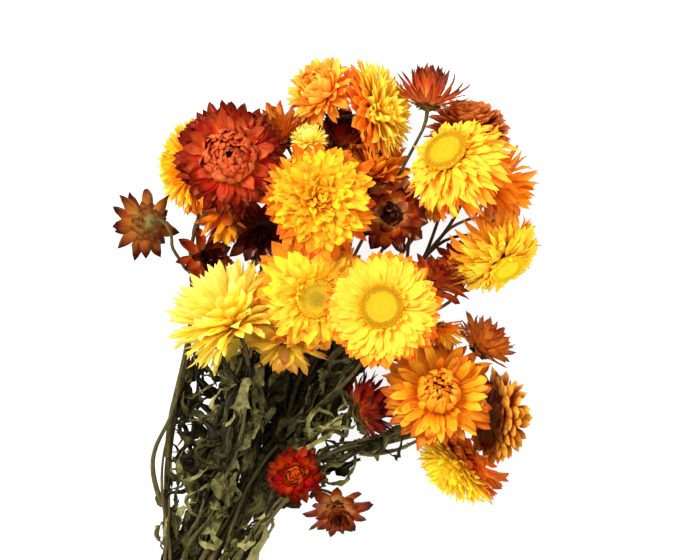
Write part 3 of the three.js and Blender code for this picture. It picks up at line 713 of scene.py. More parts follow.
def turned_profile(profile, sides):
    """A closed body of revolution about +Z from (radius, height) pairs, and its notes."""
    profile = np.array(profile)
    rings = len(profile) - 2
    angle = np.arange(sides) / sides * 2 * math.pi
    x, y = np.outer(profile[1:-1, 0], np.cos(angle)), np.outer(profile[1:-1, 0], np.sin(angle))
    z = np.repeat(profile[1:-1, 1:], sides, 1)
    foot_point, top_point = [[0, 0, profile[0][1]]], [[0, 0, profile[-1][1]]]
    points = np.vstack([foot_point, np.stack([x, y, z], -1).reshape(-1, 3), top_point])
    k = np.arange(sides)
    n = (k + 1) % sides
    wall = 1 + np.stack([k, n, n + sides, k + sides], 1)
    walls = np.vstack([wall + i * sides for i in range(rings - 1)])
    last = 1 + (rings - 1) * sides
    foot = np.stack([np.zeros(sides, int), 1 + n, 1 + k], 1)
    lid = np.stack([last + k, last + n, np.full(sides, len(points) - 1)], 1)
    notes = np.zeros((len(points), 4))
    notes[:, 0] = (points[:, 2] - profile[0][1]) / np.ptp(profile[:, 1])
    return points, notes, [foot, walls, lid]


points, _, faces = turned_profile(KNOB, KNOB_SIDES)
print("a knob has", len(points), "points and", sum(len(block) for block in faces), "faces")

# %% [markdown]
# ## The bracts' finish
#
# A dried bract is plant tissue with nothing left but cell walls: thin, tough and stiff
# like parchment. Its long cells lie side by side from base to tip, so it shows fine
# lengthwise veins and a silky gloss, and light shines through it, which makes the yellow
# heads glow. The pigment isn't even: the base, the middle and the tip differ, the outer
# bracts are darker and redder than the inner ones, and edges and tips brown with age.
#
# Each point of our sheets knows its share of the length, its side, its layer and its
# bract's own luck, so the material can put each colour where it grows. Two colour ramps
# along the length, one for the outer and one for the inner bracts, are mixed by layer. A
# bract's luck moves it a little inwards or outwards, so that the change isn't a circle.

# %% Where each pigment lies on a bract
SMOOTH = {"interpolation_type": "SMOOTHSTEP"}
RGBA = {"data_type": "RGBA"}
MULTIPLY, MULTIPLY_ADD = {"operation": "MULTIPLY"}, {"operation": "MULTIPLY_ADD"}
SUBTRACT, ABSOLUTE = {"operation": "SUBTRACT", "use_clamp": True}, {"operation": "ABSOLUTE"}
LUCK_SHIFT = 0.3  # how much of the way from outer to inner colours a bract's luck can make
BLUSHED_FROM, BLUSH = 0.78, 0.75  # the luck from which bracts blush, and the most they do


def notes_of(tree):
    """The outputs that hold the four notes of a point."""
    return [add(tree, "Attribute", {"attribute_name": name}).outputs["Fac"] for name in NOTES]


def pigment(tree, notes, outer, inner, places, inner_from, blush):
    """The colour of each point of a bract, before its veins and its age."""
    share, _, layer, luck = notes
    colours = [
        add(tree, "ValToRGB", {"stops": list(zip(places, stops))}, Fac=share) for stops in (outer, inner)
    ]
    inward = add(tree, "MapRange", SMOOTH, Value=layer, in_1=inner_from[0], in_2=inner_from[1])
    own = add(tree, "Math", MULTIPLY_ADD, in_0=luck, in_1=LUCK_SHIFT, in_2=inward)
    own = add(tree, "Math", SUBTRACT, in_0=own, in_1=LUCK_SHIFT / 2)
    colour = add(tree, "Mix", RGBA, Factor=own, in_6=colours[0], in_7=colours[1]).outputs[2]
    if blush:
        few = add(tree, "MapRange", SMOOTH, Value=luck, in_1=BLUSHED_FROM, in_2=1.0, in_3=0.0, in_4=BLUSH)
        colour = add(tree, "Mix", RGBA, Factor=few, in_6=colour, in_7=linear(blush)).outputs[2]
    return colour


print("share of the bracts that a blush reaches:", round(1 - BLUSHED_FROM, 2))

# %% [markdown]
# A noise that is stretched along the bract makes the veins: its coordinates are the same
# notes, so it changes fast across a bract and slowly along it. A real vein is about
# 0.15 mm wide, too fine to show in the picture, so these are drawn at 0.7 mm. A coarser
# noise in the same coordinates shifts the hue a little, as unevenly stored pigment does.

# %% Veins, and rims that brown with age
BRACT_WIDTH, VEIN_WIDTH = 4.9, 0.7  # mm
VEINS = BRACT_WIDTH / VEIN_WIDTH
BLOTCHES = 0.45  # the scale of the blotches, where the veins have 1
BRACTS_APART = 97.0  # how far apart in the noise two bracts can lie
NOISE_LOW, NOISE_HIGH = 0.3, 0.7  # most of a noise's values lie between these
VEIN_LIGHTS, BRACT_LIGHTS = (0.9, 1.14), (0.96, 1.08)  # from the darkest to the lightest
HUES = (0.488, 0.512)  # 0.5 leaves a hue as it is
EDGE, EDGE_VEINS, EDGE_AGED = 1.25, 0.35, 0.8  # where age is full, how veins move it, its most


def lengthwise(tree, notes, across, along, apart):
    """Coordinates for a noise that runs along a bract or a stem. across and along count
    its grains in both ways, and apart keeps the grains of two pieces from being alike."""
    share, side, _, luck = notes
    ways = ((side, across / 2), (share, along), (luck, apart))
    scaled = [add(tree, "Math", MULTIPLY, in_0=value, in_1=times) for value, times in ways]
    return add(tree, "CombineXYZ", X=scaled[0], Y=scaled[1], Z=scaled[2])


def veined(tree, notes, colour):
    """A colour with veins and blotches in it, and the veins themselves."""
    luck = notes[3]
    where = lengthwise(tree, notes, VEINS, 1.0, BRACTS_APART)
    veins = add(tree, "TexNoise", Vector=where, Scale=1.0, Detail=3.0, Roughness=0.65)
    blotches = add(tree, "TexNoise", Vector=where, Scale=BLOTCHES, Detail=1.0)
    light, tone, hue = (
        add(tree, "MapRange", Value=source, in_1=low, in_2=high, in_3=least, in_4=most)
        for source, low, high, (least, most) in (
            (veins, NOISE_LOW, NOISE_HIGH, VEIN_LIGHTS),
            (luck, 0.0, 1.0, BRACT_LIGHTS),
            (blotches, NOISE_LOW, NOISE_HIGH, HUES),
        )
    )
    value = add(tree, "Math", MULTIPLY, in_0=light, in_1=tone)
    return add(tree, "HueSaturation", Hue=hue, Value=value, Color=colour), veins


def aged(tree, notes, colour, veins, edge, edge_width):
    """A colour whose rim has turned to the edge colour, most of all towards the tip."""
    share, side, _, _ = notes
    rim = add(tree, "Math", ABSOLUTE, in_0=side)
    rim = add(tree, "Math", MULTIPLY, in_0=rim, in_1=share)
    rim = add(tree, "Math", MULTIPLY_ADD, in_0=veins, in_1=EDGE_VEINS, in_2=rim)
    start = EDGE - edge_width
    old = add(tree, "MapRange", SMOOTH, Value=rim, in_1=start, in_2=EDGE, in_3=0.0, in_4=EDGE_AGED)
    return add(tree, "Mix", RGBA, Factor=old, in_6=colour, in_7=linear(edge)).outputs[2]


print("veins across a bract:", round(VEINS, 1))

# %% [markdown]
# Plant tissue bends light about 1.45 times as much as air does. It has no metal in it, and
# its gloss is silky: the roughness is near 0.4 for the yellow bracts and down to 0.18 for
# the dark ones, whose skin is smoother. The sheen is tinted, because light that comes off
# the long cells has gone a little way into them. A translucent part of the surface lets
# light through, more in a yellow bract than in a dark one, which swallows it.

# %% The bract material
BRACT_IOR = 1.45
VEIN_DEPTH = 0.12  # mm
GLOSSY_VEIN, DULL_VEIN = -0.08, 0.12  # what the veins take from the roughness or add to it


def bract_material(name, outer, inner, edge, gloss=0.42, edge_width=0.5, through=0.22,
                   inner_from=(0.05, 0.5), blush=None, shine=0.2, sheen="#ffe8b0",
                   places=(0.12, 0.55, 0.97)):
    """A papery bract. outer and inner list the colours at the base, the middle and the
    tip of the outermost and of the inner bracts, places says where along a bract those
    three lie, and inner_from where the inner colours start and take over, in layers. edge
    is what the rims turn to, over edge_width. blush is the colour that about a fifth of
    the bracts has taken on. gloss is the roughness, shine and sheen are the strength and
    the tint of the reflections, and through is the share of light that goes through."""
    material, tree = new_material(name)
    notes = notes_of(tree)
    colour = pigment(tree, notes, outer, inner, places, inner_from, blush)
    colour, veins = veined(tree, notes, colour)
    colour = aged(tree, notes, colour, veins, edge, edge_width)
    bump = add(tree, "Bump", Strength=0.55, Distance=VEIN_DEPTH * MM, Height=veins)
    rough = add(tree, "MapRange", Value=veins, in_1=NOISE_LOW, in_2=NOISE_HIGH,
                in_3=gloss + GLOSSY_VEIN, in_4=gloss + DULL_VEIN)
    paper = add(tree, "BsdfPrincipled", Base_Color=colour, Roughness=rough, IOR=BRACT_IOR,
                Specular_IOR_Level=shine, Specular_Tint=linear(sheen), Normal=bump)
    glow = add(tree, "BsdfTranslucent", Color=colour, Normal=bump)
    both = add(tree, "MixShader", in_0=through, in_1=paper, in_2=glow)
    add(tree, "OutputMaterial", Surface=both)
    return material


print("a bract's index of refraction:", BRACT_IOR)

# %% [markdown]
# ### The yellow heads
#
# Yellow pigment swallows little light. Nearly half of what falls on such a bract passes
# through it, and the eye sees the head glow from inside. The outer bracts are the oldest,
# and the tips of most have turned orange or brick red.

# %% The yellow bracts
BRACTS = {
    "lemon": bract_material("lemon strawflower bract",
        ("#ffb414", "#ffb61c", "#ee6a10"), ("#ffd228", "#ffda44", "#ffd83c"), "#ffcc48",
        through=0.42),
    # The lemon made lighter: painted light for the heads that lie in shade, facing away from the lamps
    "pale": bract_material("lemon strawflower bract lightened as painted light",
        ("#ffe434", "#fff070", "#fff27c"), ("#ffe83c", "#fff274", "#fff488"), "#ffe868",
        through=0.42),
    "crest": bract_material("two toned lemon strawflower bract",
        ("#ffc838", "#ffc440", "#f8a434"), ("#ffdc30", "#ffec58", "#ffee60"), "#ffe468",
        through=0.46, inner_from=(0.12, 0.26)),
    "fringe": bract_material("red edged lemon strawflower bract",
        ("#ffc834", "#ffb43c", "#cc4c18"), ("#ffe42c", "#fff048", "#fff050"), "#fce848",
        through=0.46, inner_from=(0.24, 0.34)),
    "gold": bract_material("gold strawflower bract",
        ("#ffb414", "#ffa214", "#e05014"), ("#ffcc1c", "#ffdc38", "#ffd82c"), "#ffb428",
        through=0.44, places=(0.12, 0.5, 0.95)),
    "sun": bract_material("sun yellow strawflower bract",
        ("#ffc820", "#ffc828", "#e0601a"), ("#ffd828", "#ffea48", "#ffe83c"), "#ffd448",
        through=0.44),
}
print("yellow bracts:", list(BRACTS))

# %% [markdown]
# ### The amber and copper heads
#
# These hold yellow and red pigment together. The red lies mostly at the tips, and in the
# copper ones at the base, where the dark is partly pigment and partly painted shade, for
# the base of each shingle lies under the one before. In three of these finishes a bract
# that has more of it by chance blushes as a whole. The gloss shows more, because less
# light comes out of the tissue.

# %% The amber and copper bracts
AMBERS = {
    "apricot": bract_material("apricot strawflower bract",
        ("#ffcc38", "#ffbc30", "#d4581a"), ("#ffbc2c", "#ffd048", "#ffdc58"), "#f4a034",
        gloss=0.36, through=0.36, blush="#ec8428"),
    "amber": bract_material("amber strawflower bract",
        ("#ffb41c", "#f89c1c", "#a83410"), ("#f08c0e", "#fcb41e", "#ffc434"), "#cc6414",
        gloss=0.34, through=0.36, edge_width=0.4, inner_from=(0.16, 0.56), blush="#d85c1c"),
    "cream": bract_material("cream and amber strawflower bract",
        ("#ffdc38", "#ffe850", "#c8441c"), ("#ffe448", "#ffee5c", "#ec9c3c"), "#ac3412",
        gloss=0.3, through=0.42, blush="#7c1408", places=(0.12, 0.6, 0.98)),
    "tawny": bract_material("tawny strawflower bract",
        ("#fcb444", "#e88c28", "#7c1c08"), ("#ffbc48", "#f09c34", "#a43c12"), "#6c1808",
        gloss=0.28, through=0.3, edge_width=0.5, shine=0.32, sheen="#ffa05c", places=(0.12, 0.5, 0.93)),
    # Its dark base is partly red pigment and partly painted shade, where each shingle lies under the one
    # before
    "copper": bract_material("copper strawflower bract with painted base shade",
        ("#78200a", "#a84012", "#e48434"), ("#80240a", "#b84c1a", "#f49844"), "#94340f",
        gloss=0.3, through=0.26, edge_width=0.4, shine=0.3, sheen="#ff9a60", places=(0.2, 0.6, 0.97)),
}
BRACTS.update(AMBERS)
print("amber bracts:", list(AMBERS))

# %% [markdown]
# ### The red and the nearly black heads
#
# So much red pigment lies in these bracts that the tips look nearly black, while the bases
# of the outer ones stay orange or red. The eye knows them by their highlights: light that
# strikes the smooth dark skin at a low angle comes back as a pale, pinkish streak.

# %% The red and the dark bracts
REDS = {
    "ember": bract_material("ember red strawflower bract",
        ("#ec6814", "#b82a0a", "#4c0904"), ("#b43408", "#e8743c", "#d85a2c"), "#580f06",
        gloss=0.26, through=0.2, inner_from=(0.5, 0.66), edge_width=0.65, shine=0.36, sheen="#ff8c5c",
        places=(0.1, 0.48, 0.94)),
    "crimson": bract_material("crimson strawflower bract",
        ("#bc3008", "#a01c04", "#2c0402"), ("#d8480a", "#ec701c", "#bc3c0e"), "#3c0604",
        gloss=0.28, through=0.16, inner_from=(0.5, 0.8), shine=0.28, sheen="#ff7c50",
        places=(0.12, 0.5, 0.9)),
    "wine": bract_material("dark wine strawflower bract",
        ("#ec8c34", "#98240c", "#260303"), ("#b43c12", "#701408", "#200303"), "#300404",
        gloss=0.22, through=0.16, inner_from=(0.5, 0.75), shine=0.42, sheen="#ffa084",
        places=(0.1, 0.42, 0.9)),
    "brick": bract_material("brick red strawflower bract",
        ("#f8a848", "#cc5020", "#500904"), ("#f0883c", "#c8501c", "#540c05"), "#5c1006",
        gloss=0.24, through=0.24, inner_from=(0.5, 0.75), shine=0.45, sheen="#ffa074",
        places=(0.14, 0.54, 0.94)),
    "sienna": bract_material("sienna strawflower bract",
        ("#f8b04c", "#b84414", "#2c0403"), ("#a83c10", "#500e08", "#1c0202"), "#380805",
        gloss=0.19, through=0.18, inner_from=(0.5, 0.7), blush="#c07048", shine=0.5, sheen="#ffb890",
        places=(0.14, 0.44, 0.84)),
    "mahogany": bract_material("mahogany strawflower bract",
        ("#f89844", "#bc4418", "#340504"), ("#7c260e", "#400b06", "#1c0303"), "#3c0806",
        gloss=0.18, through=0.2, inner_from=(0.4, 0.6), shine=0.55, sheen="#ffbc9c",
        places=(0.12, 0.5, 0.92)),
    "rose": bract_material("cream based red strawflower bract",
        ("#ffd478", "#b44410", "#3c0604"), ("#ffb454", "#8c2c0a", "#200303"), "#440a04",
        gloss=0.19, through=0.2, inner_from=(0.5, 0.8), edge_width=0.42, shine=0.5, sheen="#ffbc90",
        places=(0.24, 0.54, 0.86)),
    "plum": bract_material("dark plum strawflower bract",
        ("#a8401c", "#7c2014", "#300708"), ("#64180c", "#400a08", "#1c0304"), "#300608",
        gloss=0.18, through=0.13, shine=0.6, sheen="#ffc0b4"),
}
BRACTS.update(REDS)
print("red and dark bracts:", list(REDS))

# %% [markdown]
# ### The heads whose backs show
#
# The back of a bract is olive at the base, where it was green, and brown or red further
# out. Two heads show it: one hangs at the left edge, and one leans away at the lower
# right, where rows of round bracts end in a bright rim.

# %% The bracts of the heads whose backs show
BACKS = {
    "bronze": bract_material("bronze backed strawflower bract",
        ("#a89038", "#a85c1c", "#400b04"), ("#886020", "#64280e", "#2c0704"), "#380b04",
        gloss=0.24, through=0.2, shine=0.42, sheen="#ffb080", places=(0.14, 0.44, 0.82)),
    "striped": bract_material("striped amber strawflower bract",
        ("#5c460e", "#6c3410", "#6c1808"), ("#84300a", "#ac4c0e", "#f4b03c"), "#74200a",
        gloss=0.28, through=0.28, edge_width=0.4, inner_from=(0.16, 0.42), shine=0.28, sheen="#ffa868",
        places=(0.28, 0.66, 0.92)),
}
BRACTS.update(BACKS)
print("bract finishes:", len(BRACTS))

# %% [markdown]
# ## Florets, scales and knobs
#
# The florets are fleshy tubes, matt and yellow, with olive tips where they have opened
# and browned. The knob is woody. Both are thick cellulose, with an index of refraction of
# 1.5 and no metal in it, and scatter light evenly, with hardly a highlight. So they share
# one short recipe: a few colours along a note, a fine noise, and a roughness of 0.75. A
# floret's own grain is far finer than the picture shows, so the noise is a little wider
# than a floret, 1.2 mm. It makes one floret differ from the next.
#
# The small scales behind a head are the same papery tissue as the bracts, but short,
# dull and straw-coloured or brown, so they are made with the bracts' recipe.

# %% The matt material of florets and knobs
FLORET_GRAIN, KNOB_GRAIN, GRAIN_DEPTH = 1.2, 1.5, 0.1  # mm
CELLULOSE_IOR = 1.5
MATT_ROUGHNESS, MATT_SHINE = 0.75, 0.2


def matt_material(name, stops, grain_mm, uneven=0.25):
    """A dry matt plant surface: colours along the share note, broken up by a fine grain.
    uneven is how far the grain moves a point along the colours."""
    material, tree = new_material(name)
    share = add(tree, "Attribute", {"attribute_name": "share"}).outputs["Fac"]
    grain = add(tree, "TexNoise", Scale=1 / (grain_mm * MM), Detail=3.0, Vector=add(tree, "NewGeometry"))
    mixed = add(tree, "Math", MULTIPLY_ADD, in_0=grain, in_1=uneven, in_2=share)
    mixed = add(tree, "Math", SUBTRACT, in_0=mixed, in_1=uneven / 2)
    colour = add(tree, "ValToRGB", {"stops": stops}, Fac=mixed)
    bump = add(tree, "Bump", Strength=0.7, Distance=GRAIN_DEPTH * MM, Height=grain)
    skin = add(tree, "BsdfPrincipled", Base_Color=colour, Roughness=MATT_ROUGHNESS,
               IOR=CELLULOSE_IOR, Specular_IOR_Level=MATT_SHINE, Normal=bump)
    add(tree, "OutputMaterial", Surface=skin)
    return material


FLORET = matt_material("yellow disc floret", [
    (0, "#c8a818"), (0.3, "#d8b018"), (0.5, "#c8a412"), (0.72, "#dcb018"), (0.86, "#c49c10"), (1, "#d8a81c"),
], FLORET_GRAIN, uneven=0.12)
LEMON_FLORET = matt_material("lemon disc floret", [
    (0, "#ecd824"), (0.6, "#f4dc24"), (0.86, "#e4cc1c"), (1, "#f8dc2c"),
], FLORET_GRAIN, uneven=0.12)
OLD_FLORET = matt_material("olive disc floret", [
    (0, "#a8901c"), (0.35, "#bca020"), (0.6, "#dcb820"), (1, "#ecc828"),
], FLORET_GRAIN, uneven=0.3)
KNOB_SKIN = matt_material("dry brown receptacle", [
    (0, "#7a6632"), (0.5, "#5c401c"), (1, "#2a1408"),
], KNOB_GRAIN)
print("matt finishes:", [m.name for m in (FLORET, LEMON_FLORET, OLD_FLORET, KNOB_SKIN)])

# %% The small scales behind the heads
SCALES_OF = {
    "yellow": bract_material(
        "straw yellow bract scale",
        ("#b89a34", "#e0b030", "#e8a828"), ("#d0a830", "#f0c038", "#f0b030"), "#c88a28",
        gloss=0.5),
    "brown": bract_material(
        "chestnut bract scale",
        ("#665424", "#744a1a", "#50200c"), ("#7c5c20", "#804418", "#46160a"), "#4a1a0c",
        gloss=0.45, through=0.12),
}
print("scales:", list(SCALES_OF))

# %% [markdown]
# ## Where the heads are
#
# Each line is one head: its name, the middle of its ray plane on the drawing, the way its
# face looks in plan, how far it leans from straight up, its radius, and then its habit,
# its colour and its material slot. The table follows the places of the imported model, and
# a few heads were moved by up to 5 mm so that no gap shows between them. We check the
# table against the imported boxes, so that a slip of a finger would show.

# %% The heads
HEADS = [
    # name, middle, heading, tilt, radius, habit, colour, slot
    ("lemon_back_left", (-54, -16.5, 72), 118, 104, 24, "fan", "pale", "lemon_bract"),
    ("ember_double", (-54, 55, 86), 100, 10, 25, "domed", "ember", "ember_bract"),
    ("amber_top_left", (-12.5, 85, 70), 140, 48, 16.2, "hooded", "apricot", "amber_bract"),
    ("gold_double", (-13.5, 36.5, 92), 40, 12, 25, "ruffled", "gold", "gold_bract"),
    ("gold_disc_mid", (-15.5, -8, 84), -45, 17, 24, "shaggy", "sun", "gold_bract"),
    ("lemon_crest_top", (12, 76.5, 66), 15, 84, 22, "crest", "crest", "lemon_bract"),
    ("mahogany_mid", (19, 29.5, 74), 150, 14, 17, "spoon", "sienna", "mahogany_bract"),
    ("lemon_disc_front", (14.2, -12.2, 100), 135, 10, 26, "disc", "lemon", "lemon_bract"),
    ("rust_dome_top", (54, 69.5, 54), 82, 74, 20.5, "shingled", "copper", "rust_bract"),
    ("lemon_disc_right", (46.5, 53.5, 82), 128, 46, 24, "ragged", "lemon", "lemon_bract"),
    ("amber_double", (39.8, -51, 80), 90, 14, 24, "rolled", "amber", "amber_bract"),
    ("gold_disc_right", (68.5, 9.5, 66), -60, 58, 20.5, "frayed", "sun", "gold_bract"),
    ("lemon_low_right", (49.3, -83.2, 47), -138, 84, 21.5, "crest", "fringe", "lemon_bract"),
    ("gold_side_left", (-71, 52, 59), 178, 66, 20.5, "crest", "gold", "gold_bract"),
    ("rust_bud_top", (35.5, 82.5, 74), 84, 84, 15.5, "goblet", "brick", "rust_bract"),
    ("gold_back_right", (65.5, 42, 55), -18, 74, 17, "brush", "amber", "gold_bract"),
    ("ember_side_right", (38.5, -1, 74), 62, 62, 13, "lily", "brick", "ember_bract"),
    ("ember_up_right", (50, 7, 52), 100, 70, 12, "lily", "brick", "ember_bract"),
    ("amber_hung_left", (-93.5, 25.5, 43), 200, 150, 17, "star", "bronze", "amber_bract"),
    ("mahogany_left", (-66, 10.5, 58), -6, 30, 10.6, "lily", "mahogany", "mahogany_bract"),
    ("amber_fan_right", (66.8, -61.8, 58), 0, 116, 20, "scalloped", "striped", "amber_bract"),
    ("rust_brush_right", (60.5, -29.5, 58), 48, 76, 14, "shuttle", "tawny", "rust_bract"),
    ("crimson_low", (-24.5, -88, 66), 160, 12, 13.8, "rosette", "crimson", "crimson_bract"),
    ("mahogany_low", (-5.5, -104, 46), -80, 48, 11.8, "lily", "rose", "crimson_bract"),
    ("crimson_mid_low", (6.5, -58, 60), 18, 100, 16.5, "shuttle", "wine", "crimson_bract"),
    ("amber_under_mid", (-28, -29.5, 70), -95, 70, 14.5, "lily", "cream", "amber_bract"),
    ("gold_under_front", (40.5, -24, 66), -70, 86, 12, "shuttle", "gold", "gold_bract"),
    ("rust_under_ember", (-55.5, 30, 59.5), -80, 98, 14, "brush", "amber", "rust_bract"),
    ("black_plum_mid", (-39.5, 23, 66), -100, 42, 15, "lily", "plum", "mahogany_bract"),
    ("rust_top_left", (-31, 65.5, 62), 118, 58, 14, "brush", "tawny", "rust_bract"),
    ("lemon_bud_top", (-18.5, 63.5, 77), 92, 64, 8.5, "hooded", "pale", "rust_bract"),
    ("plum_top_gap", (-3.5, 62.5, 60), 96, 66, 16, "lily", "wine", "mahogany_bract"),
    ("amber_behind_mid", (11, 48.5, 62), 78, 42, 15.5, "brush", "amber", "amber_bract"),
    ("amber_small_right", (38, 34, 60), -88, 88, 9.5, "shuttle", "amber", "amber_bract"),
    ("rust_rest_left", (-64, 34, 13.4), 200, 104, 14, "shingled", "copper", "rust_bract"),
    ("gold_rest_top", (6, 62, 13.9), 96, 106, 16, "ruffled", "gold", "gold_bract"),
    ("amber_rest_right", (66, 27, 13.3), -10, 106, 14, "rolled", "amber", "amber_bract"),
    ("lemon_rest_mid", (-22, 4, 10.7), 232, 138, 18, "disc", "lemon", "lemon_bract"),
    ("ember_rest_low", (42, -56, 13), -50, 118, 15, "domed", "ember", "ember_bract"),
]
# Three sprays hold two heads each: the second head, the first one, and how far up the
# first one's twig the second one forks off.
TWINS = {
    "ember_up_right": "ember_side_right", "mahogany_low": "crimson_low",
    "lemon_bud_top": "rust_top_left",
}
TWIN_FORKS = {"ember_up_right": 0.4, "mahogany_low": 0.6, "lemon_bud_top": 0.5}
print("heads:", len(HEADS))

# %% Node names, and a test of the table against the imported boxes
MOST_OUTSIDE = 3.0  # mm


def node_of(name):
    """The CAD node that holds a head: three sprays hold two heads each."""
    carrier = TWINS.get(name, name)
    return f"spray_{carrier}" if carrier in TWINS.values() else f"head_{carrier}"


worst = 0.0
for name, middle, *_ in HEADS:
    low, high = box_of(node_of(name))
    place = np.array(middle) + SHIFT
    worst = max(worst, (low - place).max(), (place - high).max())
print("furthest that a head's middle lies outside its packed box, in mm:", round(worst, 2))
assert worst < MOST_OUTSIDE, "the table and the packed model don't agree"

# %% [markdown]
# ## Building the heads
#
# Each head is made upright at the origin, in head radii, then grown to its radius, turned
# so that its axis looks the right way, and moved to its place. The small scales behind
# it are a second, short spiral with a table of its own.
#
# A few heads grew lopsided: their bracts are longer on one side. That side is given in
# plan, and turned into the head's own frame when the head is built.

# %% What the heads share
SCALES = dict(
    count=34, hollow=0.3, peak=0.45, point=0.8, wild=1.0, at=(0, 0.5, 1), reach=(0.12, 0.24, 0.3),
    rise=(-0.4, -0.32, -0.22), length=(0.2, 0.24, 0.34), width=(0.16, 0.18, 0.2),
    slope=(20, 30, 30), end=(-40, -5, 5))
PAPER = 0.22  # a bract's thickness in mm
FINE_STEPS, PLAIN_STEPS, REST_STEPS, SCALE_STEPS = (9, 4), (7, 4), (5, 2), (5, 2)
LARGE = 17.0  # heads with a larger radius than this get the fine steps
REST_HEIGHT = 20.0  # heads lower than this lie under the others, and need less detail
NARROW = 0.13  # bracts narrower than this share of a head's radius need fewer points across
CUSHION_SHARE = 0.55  # where on the florets' colours the cushion under them lies
FLORETS_OF = {"gold_disc_mid": OLD_FLORET, "gold_disc_right": LEMON_FLORET}
YELLOW_BACKS = ("lemon", "pale", "crest", "fringe", "sun", "gold", "apricot", "amber", "cream")
LEANS = {  # the plan direction in which a head's bracts are longer, and by what share
    "lemon_disc_right": (-50, 0.4), "gold_disc_right": (132, 0.36), "gold_disc_mid": (110, 0.12),
    "lemon_disc_front": (-60, 0.03), "gold_back_right": (0, 0.15), "gold_double": (-80, 0.04),
}


def head_axes(heading, tilt):
    """A rotation matrix: +Z becomes the head's face, and +X stays as near +X as it can."""
    h, t = math.radians(heading), math.radians(tilt)
    face = np.array([math.sin(t) * math.cos(h), math.sin(t) * math.sin(h), math.cos(t)])
    side = unit(np.cross([0, 1, 0], face) if abs(face[1]) < 0.95 else np.cross([0, 0, 1], face))
    return np.stack([side, np.cross(face, side), face], 1)


def lean_of(name, axes):
    """The side of a head that grows longer, in degrees on its own face, and by how much."""
    toward, more = LEANS.get(name, (0, 0))
    local = axes.T @ [math.cos(math.radians(toward)), math.sin(math.radians(toward)), 0]
    return math.degrees(math.atan2(local[1], local[0])), more


print("a head that looks up has the axes", head_axes(0, 0).round(2).tolist())

# %% Head by head
HEAD_SEED = 100  # the first head's
BRACT, SCALE, WOOD, MIDDLE = range(4)  # the kinds of shape, in the order of the materials


def add_bracts(pile, habit, steps, lean, rng, to_world):
    """Adds all the bracts of a head."""
    surface, notes = bract_surfaces(habit, habit["count"], steps, rng, lean)
    narrow = np.interp(notes[:, 0, 0, 2], habit["at"], habit["width"]) < NARROW
    add_sheets(pile, to_world(surface[~narrow]), PAPER, notes[~narrow], BRACT)
    if narrow.any():
        fewer = slice(None, None, 2 if steps[1] > 2 else 1)
        add_sheets(pile, to_world(surface[narrow][:, :, fewer]), PAPER, notes[narrow][:, :, fewer], BRACT)


def add_middle(pile, habit, rng, to_world, axes, radius):
    """Adds an open head's cushion and its florets."""
    cushion = [(r * habit["disc"], z + habit["lift"]) for r, z in CUSHION]
    points, marks, faces = turned_profile(cushion, CUSHION_SIDES)
    marks[:, 0] = CUSHION_SHARE
    pile.add(to_world(points), marks, faces, MIDDLE)
    places, normals, sizes, heights, marks = floret_places(habit["disc"], habit["lift"], rng)
    add_domes(pile, to_world(places), normals @ axes.T, sizes * radius, heights * radius, marks, MIDDLE)


def build_head(index, name, middle, heading, tilt, radius, habit_name, colour, slot):
    """Makes one head as one piece. index gives it a seed of its own."""
    rng = np.random.default_rng(HEAD_SEED + index)
    habit, axes, place = HABITS[habit_name], head_axes(heading, tilt), np.array(middle) + SHIFT

    def to_world(points):
        return points @ axes.T * radius + place

    pile = Pile()
    steps = REST_STEPS if middle[2] < REST_HEIGHT else FINE_STEPS if radius > LARGE else PLAIN_STEPS
    add_bracts(pile, habit, steps, lean_of(name, axes), rng, to_world)
    surface, notes = bract_surfaces(SCALES, SCALES["count"], SCALE_STEPS, rng)
    add_sheets(pile, to_world(surface), PAPER, notes, SCALE)
    points, marks, faces = turned_profile(KNOB, KNOB_SIDES)
    pile.add(to_world(points), marks, faces, WOOD)
    if habit["disc"]:
        add_middle(pile, habit, rng, to_world, axes, radius)
    scales = SCALES_OF["yellow" if colour in YELLOW_BACKS else "brown"]
    materials = [BRACTS[colour], scales, KNOB_SKIN, FLORETS_OF.get(name, FLORET)]
    pile.piece(f"strawflower_{name}", materials, slot, node_of(name))


for index, row in enumerate(HEADS):
    build_head(index, *row)
print("triangles in the heads:", sum(TRIANGLES.values()))

# %% [markdown]
# ## Stems and twigs
#
# A dried strawflower stem is a hollow, ribbed straw, 3 to 4 mm thick, that shrank and
# wrinkled along its length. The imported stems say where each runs: their tubes are rings
# of six points. We walk along a tube from ring to ring, take each ring's middle, and draw
# a finer, ribbed tube along that line. A head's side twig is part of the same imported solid
# as the head, so there we stop walking where the rings end, and go on in a smooth bend to
# the back of the head.

# %% Walking over a packed tube's points
def welded(node):
    """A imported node's points in mm, without doubles, and which points are joined."""
    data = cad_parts[node].data
    points = np.zeros(len(data.vertices) * 3)
    data.vertices.foreach_get("co", points)
    points, same = np.unique((points.reshape(-1, 3) / MM).round(2), axis=0, return_inverse=True)
    joined = [set() for _ in points]
    for edge in data.edges:
        a, b = (int(same.ravel()[v]) for v in edge.vertices)
        if a != b:
            joined[a].add(b)
            joined[b].add(a)
    return points, joined


def hops_from(start, joined):
    """How many edges away from the start points each point lies."""
    hops = {i: 0 for i in start}
    front = list(start)
    while front:
        following = []
        for i in front:
            for j in joined[i]:
                if j not in hops:
                    hops[j] = hops[i] + 1
                    following.append(j)
        front = following
    return hops


points, joined = welded("stem_ember_double")
furthest = max(hops_from([0], joined).values())
print("a packed stem has", len(points), "points, and the last is", furthest, "hops from the first")

# %% Reading a tube's middle line
TUBE_SIDES = 6
HEAD_MARGIN = 1.06  # points within this many radii of a head's middle belong to the head
SWELLING = 1.35  # a ring that is this much wider than the first is no longer the tube


